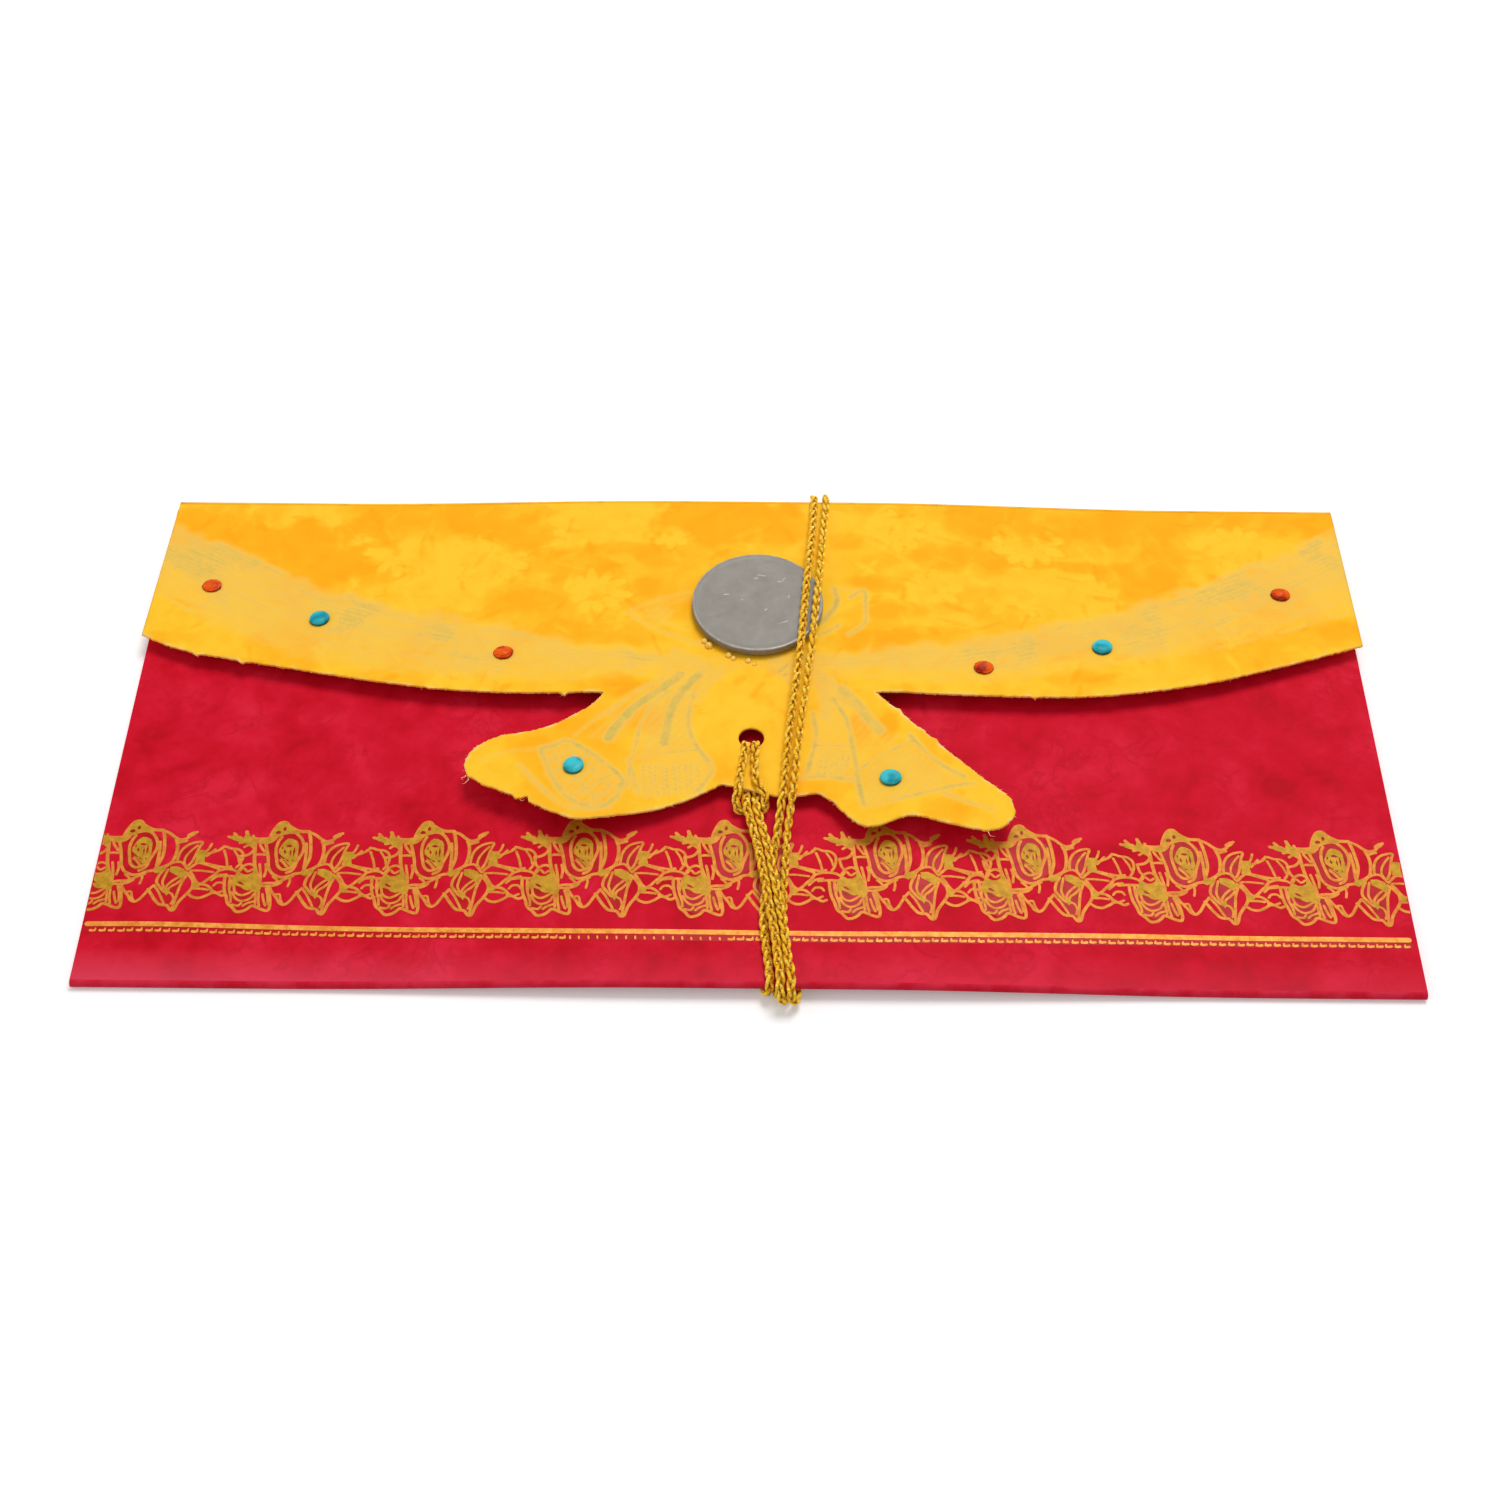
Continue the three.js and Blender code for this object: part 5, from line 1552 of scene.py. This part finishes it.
def add_coin():
    radius = COIN_DIAMETER / 2
    low = PAD_THICKNESS + SEAT_GAP
    high = low + COIN_THICKNESS
    around = COIN_AROUND
    profile = [(radius - 0.25, low), (radius - 0.05, low + 0.12), (radius, low + 0.3), (radius, high - 0.3),
               (radius - 0.04, high - 0.12), (radius - 0.18, high - 0.03), (radius - 0.35, high),
               (radius - 0.6, high), (radius - 0.85, high - 0.03)]
    inner = radius - 1.1
    profile += [(inner * k / COIN_FIELD_RINGS, high - 0.05) for k in range(COIN_FIELD_RINGS, 0, -1)]
    points = [(0, 0, low)]
    for r, z in profile:
        for j in range(around):
            angle = 2 * math.pi * j / around
            x, y = r * math.cos(angle), r * math.sin(angle)
            worn = 0.0
            if r < radius - 1.2:
                worn = COIN_WEAR * noise.fractal(Vector((x * 0.5, y * 0.5, 3)), 1.0, 2.0, 3)
            points.append((x, y, z + worn))
    points.append((0, 0, high - 0.05))
    faces = disc_faces(len(profile), around)
    points = seated(points, seat_on_flap(COIN_X, COIN_FROM_FOLD))
    coin = mesh_piece("coin_face", points, faces, COIN, "flap", True)
    # the bevel's rings get the painted highlight
    give_second_look(coin, BRIGHT_METAL, BRIGHT_FROM * around, BRIGHT_TO * around)
    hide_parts("coin")


# Where the stones are: [x, distance from the fold]
FACETED_STONES = [(-91.7, 21.1), (-40.9, 36.5), (38, 39.1), (89.5, 21)]
DOMED_STONES = [(-72.4, 28.6), (-27.8, 60.8), (22, 62.6), (58, 33.8)]


def give_second_look(piece, look, first, last):
    """Gives another look to a run of a piece's faces."""
    piece.data.materials.append(look)
    for face in piece.data.polygons[first:last]:
        face.material_index = 1


# Dried drops of glue at the coin's edge: [degrees round the coin, out from its middle, radius, height]
GLUE_DROPS = [(221, 11.5, 0.6, 0.6), (227, 11.7, 0.75, 0.7), (246, 11.6, 0.6, 0.6), (251, 11.9, 0.5, 0.5),
              (263, 11.8, 0.55, 0.5), (268, 12.5, 0.35, 0.35)]
# Small dents that stand up pale on the coin: [x, y from its middle, length, degrees]
COIN_MARKS = [(-5.2, 1.6, 1.1, 10), (0.6, 6.0, 1.6, -12), (-0.3, 5.3, 0.9, 20), (4.4, 5.2, 1.2, 60),
              (3.6, 4.6, 0.8, -8), (4.3, -4.6, 1.9, 22), (-2.6, 0.4, 0.5, 0), (1.4, -1.8, 0.7, 35),
              (5.2, 1.2, 0.6, 80)]
MARK_RADIUS, MARK_HEIGHT, MARK_SINK = 0.2, 0.05, 0.02
# The length of a mark that isn't stretched
MARK_LENGTH = 0.34


def low_drop(x, y, z, radius, height, stretch=1.0, degrees=0.0):
    around, steps = 12, 4
    points = [(0, 0, 0)]
    for k in range(steps):
        angle = k * math.pi / 2 / steps
        for j in range(around):
            turn = 2 * math.pi * j / around
            points.append((stretch * radius * math.cos(angle) * math.cos(turn),
                           radius * math.cos(angle) * math.sin(turn), height * math.sin(angle)))
    points.append((0, 0, height))
    tilt = np.array(Matrix.Rotation(math.radians(degrees), 3, "Z"))
    return np.array(points) @ tilt.T + (x, y, z), disc_faces(steps, around)


def add_coin_traces():
    seat = seat_on_flap(COIN_X, COIN_FROM_FOLD)
    drops = []
    for degrees, out, radius, height in GLUE_DROPS:
        turn = math.radians(degrees)
        drops.append(low_drop(out * math.cos(turn), out * math.sin(turn), -SEAT_GAP + 0.01, radius, height))
    points, faces = joined(drops)
    mesh_piece("glue_drops", seated(points, seat), faces, GLUE, "flap", True)
    top = PAD_THICKNESS + SEAT_GAP + COIN_THICKNESS - 0.05
    marks = [low_drop(x, y, top - MARK_SINK, MARK_RADIUS, MARK_HEIGHT, length / MARK_LENGTH, degrees)
             for x, y, length, degrees in COIN_MARKS]
    points, faces = joined(marks)
    mesh_piece("coin_marks", seated(points, seat), faces, BRIGHT_METAL, "flap", True)


# Rings of the stones from the base up: [share of the radius, height]
FACET_RINGS = [(0.92, 0.0), (1.0, 0.14), (0.96, 0.3), (0.7, 0.66), (0.34, 0.86)]
FACETS_AROUND = 9
DOME_WALL = [(0.98, 0.0), (1.0, 0.14), (1.0, 0.3)]
DOME_SHOULDER = 0.3
DOME_STEPS = 12
DOME_AROUND = 40
# How many rows of faces, from the base up, are in the stone's dark rim: a darker copy of its look, as painted shade
RED_RIM_ROWS = 3
BLUE_RIM_ROWS = 4


def add_red_stones(pick):
    around = FACETS_AROUND
    for index, place in enumerate(FACETED_STONES):
        points = [(0, 0, 0)]
        for k, (share, z) in enumerate(FACET_RINGS):
            for j in range(around):
                angle = 2 * math.pi * (j + 0.5 * (k % 2)) / around + pick.uniform(-0.1, 0.1)
                r = STONE_DIAMETER / 2 * share * pick.uniform(0.93, 1.0)
                rise = z + pick.uniform(-0.05, 0.03) * (k > 1)
                points.append((r * math.cos(angle), 0.86 * r * math.sin(angle), rise))
        points.append((0.1, -0.1, STONE_HEIGHT))
        points = seated(points, seat_on_flap(*place))
        faces = disc_faces(len(FACET_RINGS), around)
        piece = mesh_piece(f"red_paste_{index + 1}", points, faces, RED_GLASS, "flap")
        give_second_look(piece, RED_RIM, 0, RED_RIM_ROWS * around)
        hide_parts(f"red_stone_{index + 1}")


def add_blue_stones(pick):
    around = DOME_AROUND
    rings = list(DOME_WALL)
    for k in range(1, DOME_STEPS):
        angle = k * math.pi / 2 / DOME_STEPS
        rings.append((math.cos(angle) ** 0.6, DOME_SHOULDER + (DOME_HEIGHT - DOME_SHOULDER) * math.sin(angle)))
    for index, place in enumerate(DOMED_STONES):
        lean = pick.uniform(0, math.pi)
        points = [(0, 0, 0)]
        for share, z in rings:
            for j in range(around):
                angle = 2 * math.pi * j / around
                r = STONE_DIAMETER / 2 * share * (0.96 + 0.04 * math.cos(2 * (angle - lean)))
                points.append((r * math.cos(angle), 0.93 * r * math.sin(angle), z))
        points.append((0, 0, DOME_HEIGHT))
        points = seated(points, seat_on_flap(*place))
        faces = disc_faces(len(rings), around)
        piece = mesh_piece(f"turquoise_paste_{index + 1}", points, faces, BLUE_GLASS, "flap", True)
        give_second_look(piece, BLUE_RIM, 0, BLUE_RIM_ROWS * around)
        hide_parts(f"turquoise_stone_{index + 1}")


def add_stones():
    pick = random.Random(5)
    add_red_stones(pick)
    add_blue_stones(pick)


add_coin()
add_coin_traces()
add_stones()


# --- Floor, world and lamps --------------------------------------------------------------------------
FLOOR_HALF = 1.5
FLOOR_DROP = 0.02
# How strongly the floor glows for the camera near the part and far from it, so that it stays white
GLOW_NEAR, GLOW_FAR = 0.18, 0.62
GLOW_START, GLOW_END = 0.15, 0.8
WORLD_STRENGTH = 0.44
# [name, place, size, power]
LAMPS = [("key", (0.14, 0.32, 0.8), 0.42, 4.3), ("fill", (-0.55, -0.2, 0.5), 0.6, 0.7)]


def add_floor():
    half = FLOOR_HALF
    mesh = bpy.data.meshes.new("floor")
    mesh.from_pydata([(-half, -half, 0), (half, -half, 0), (half, half, 0), (-half, half, 0)], [], [(0, 1, 2, 3)])
    floor = bpy.data.objects.new("floor", mesh)
    floor.location.z = -FLOOR_DROP * MM
    bpy.context.collection.objects.link(floor)
    look, shader = new_look("white_table", roughness=0.9, specular_ior_level=0.1)
    shader.inputs["Base Color"].default_value = (0.9, 0.9, 0.9, 1)
    shader.inputs["Emission Color"].default_value = (1, 1, 1, 1)
    away = add_node(look, "ShaderNodeVectorMath", {0: place_of(look)}, operation="LENGTH").outputs["Value"]
    glow = ranged(look, away, GLOW_START, GLOW_END, GLOW_NEAR, GLOW_FAR)
    paths = add_node(look, "ShaderNodeLightPath")
    wire(look, times(look, paths.outputs["Is Camera Ray"], glow), shader, "Emission Strength")
    mesh.materials.append(look)


def add_world():
    """An even white light, and a full white wherever the camera, glass or gloss sees the world itself."""
    world = bpy.data.worlds.new("studio")
    world.use_nodes = True
    bpy.context.scene.world = world
    world.node_tree.nodes.clear()
    white = (1, 1, 1, 1)
    paths = add_node(world, "ShaderNodeLightPath").outputs
    seen = worked(world, "MAXIMUM", paths["Is Camera Ray"], paths["Is Transmission Ray"])
    either = worked(world, "MAXIMUM", seen, paths["Is Glossy Ray"])
    light = add_node(world, "ShaderNodeBackground", {"Color": white, "Strength": WORLD_STRENGTH})
    plain = add_node(world, "ShaderNodeBackground", {"Color": white, "Strength": 1})
    mix = add_node(world, "ShaderNodeMixShader", {"Fac": either, 1: light.outputs[0], 2: plain.outputs[0]})
    add_node(world, "ShaderNodeOutputWorld", {"Surface": mix.outputs[0]})


def add_lamp(name, place, size, power):
    lamp = bpy.data.lights.new(name, "AREA")
    lamp.shape = "DISK"
    lamp.size = size
    lamp.energy = power
    holder = bpy.data.objects.new(name, lamp)
    holder.location = place
    holder.rotation_euler = (-Vector(place)).to_track_quat("-Z", "Y").to_euler()
    bpy.context.collection.objects.link(holder)


add_floor()
add_world()
for lamp_facts in LAMPS:
    add_lamp(*lamp_facts)

bpy.context.scene.view_settings.view_transform = "Standard"
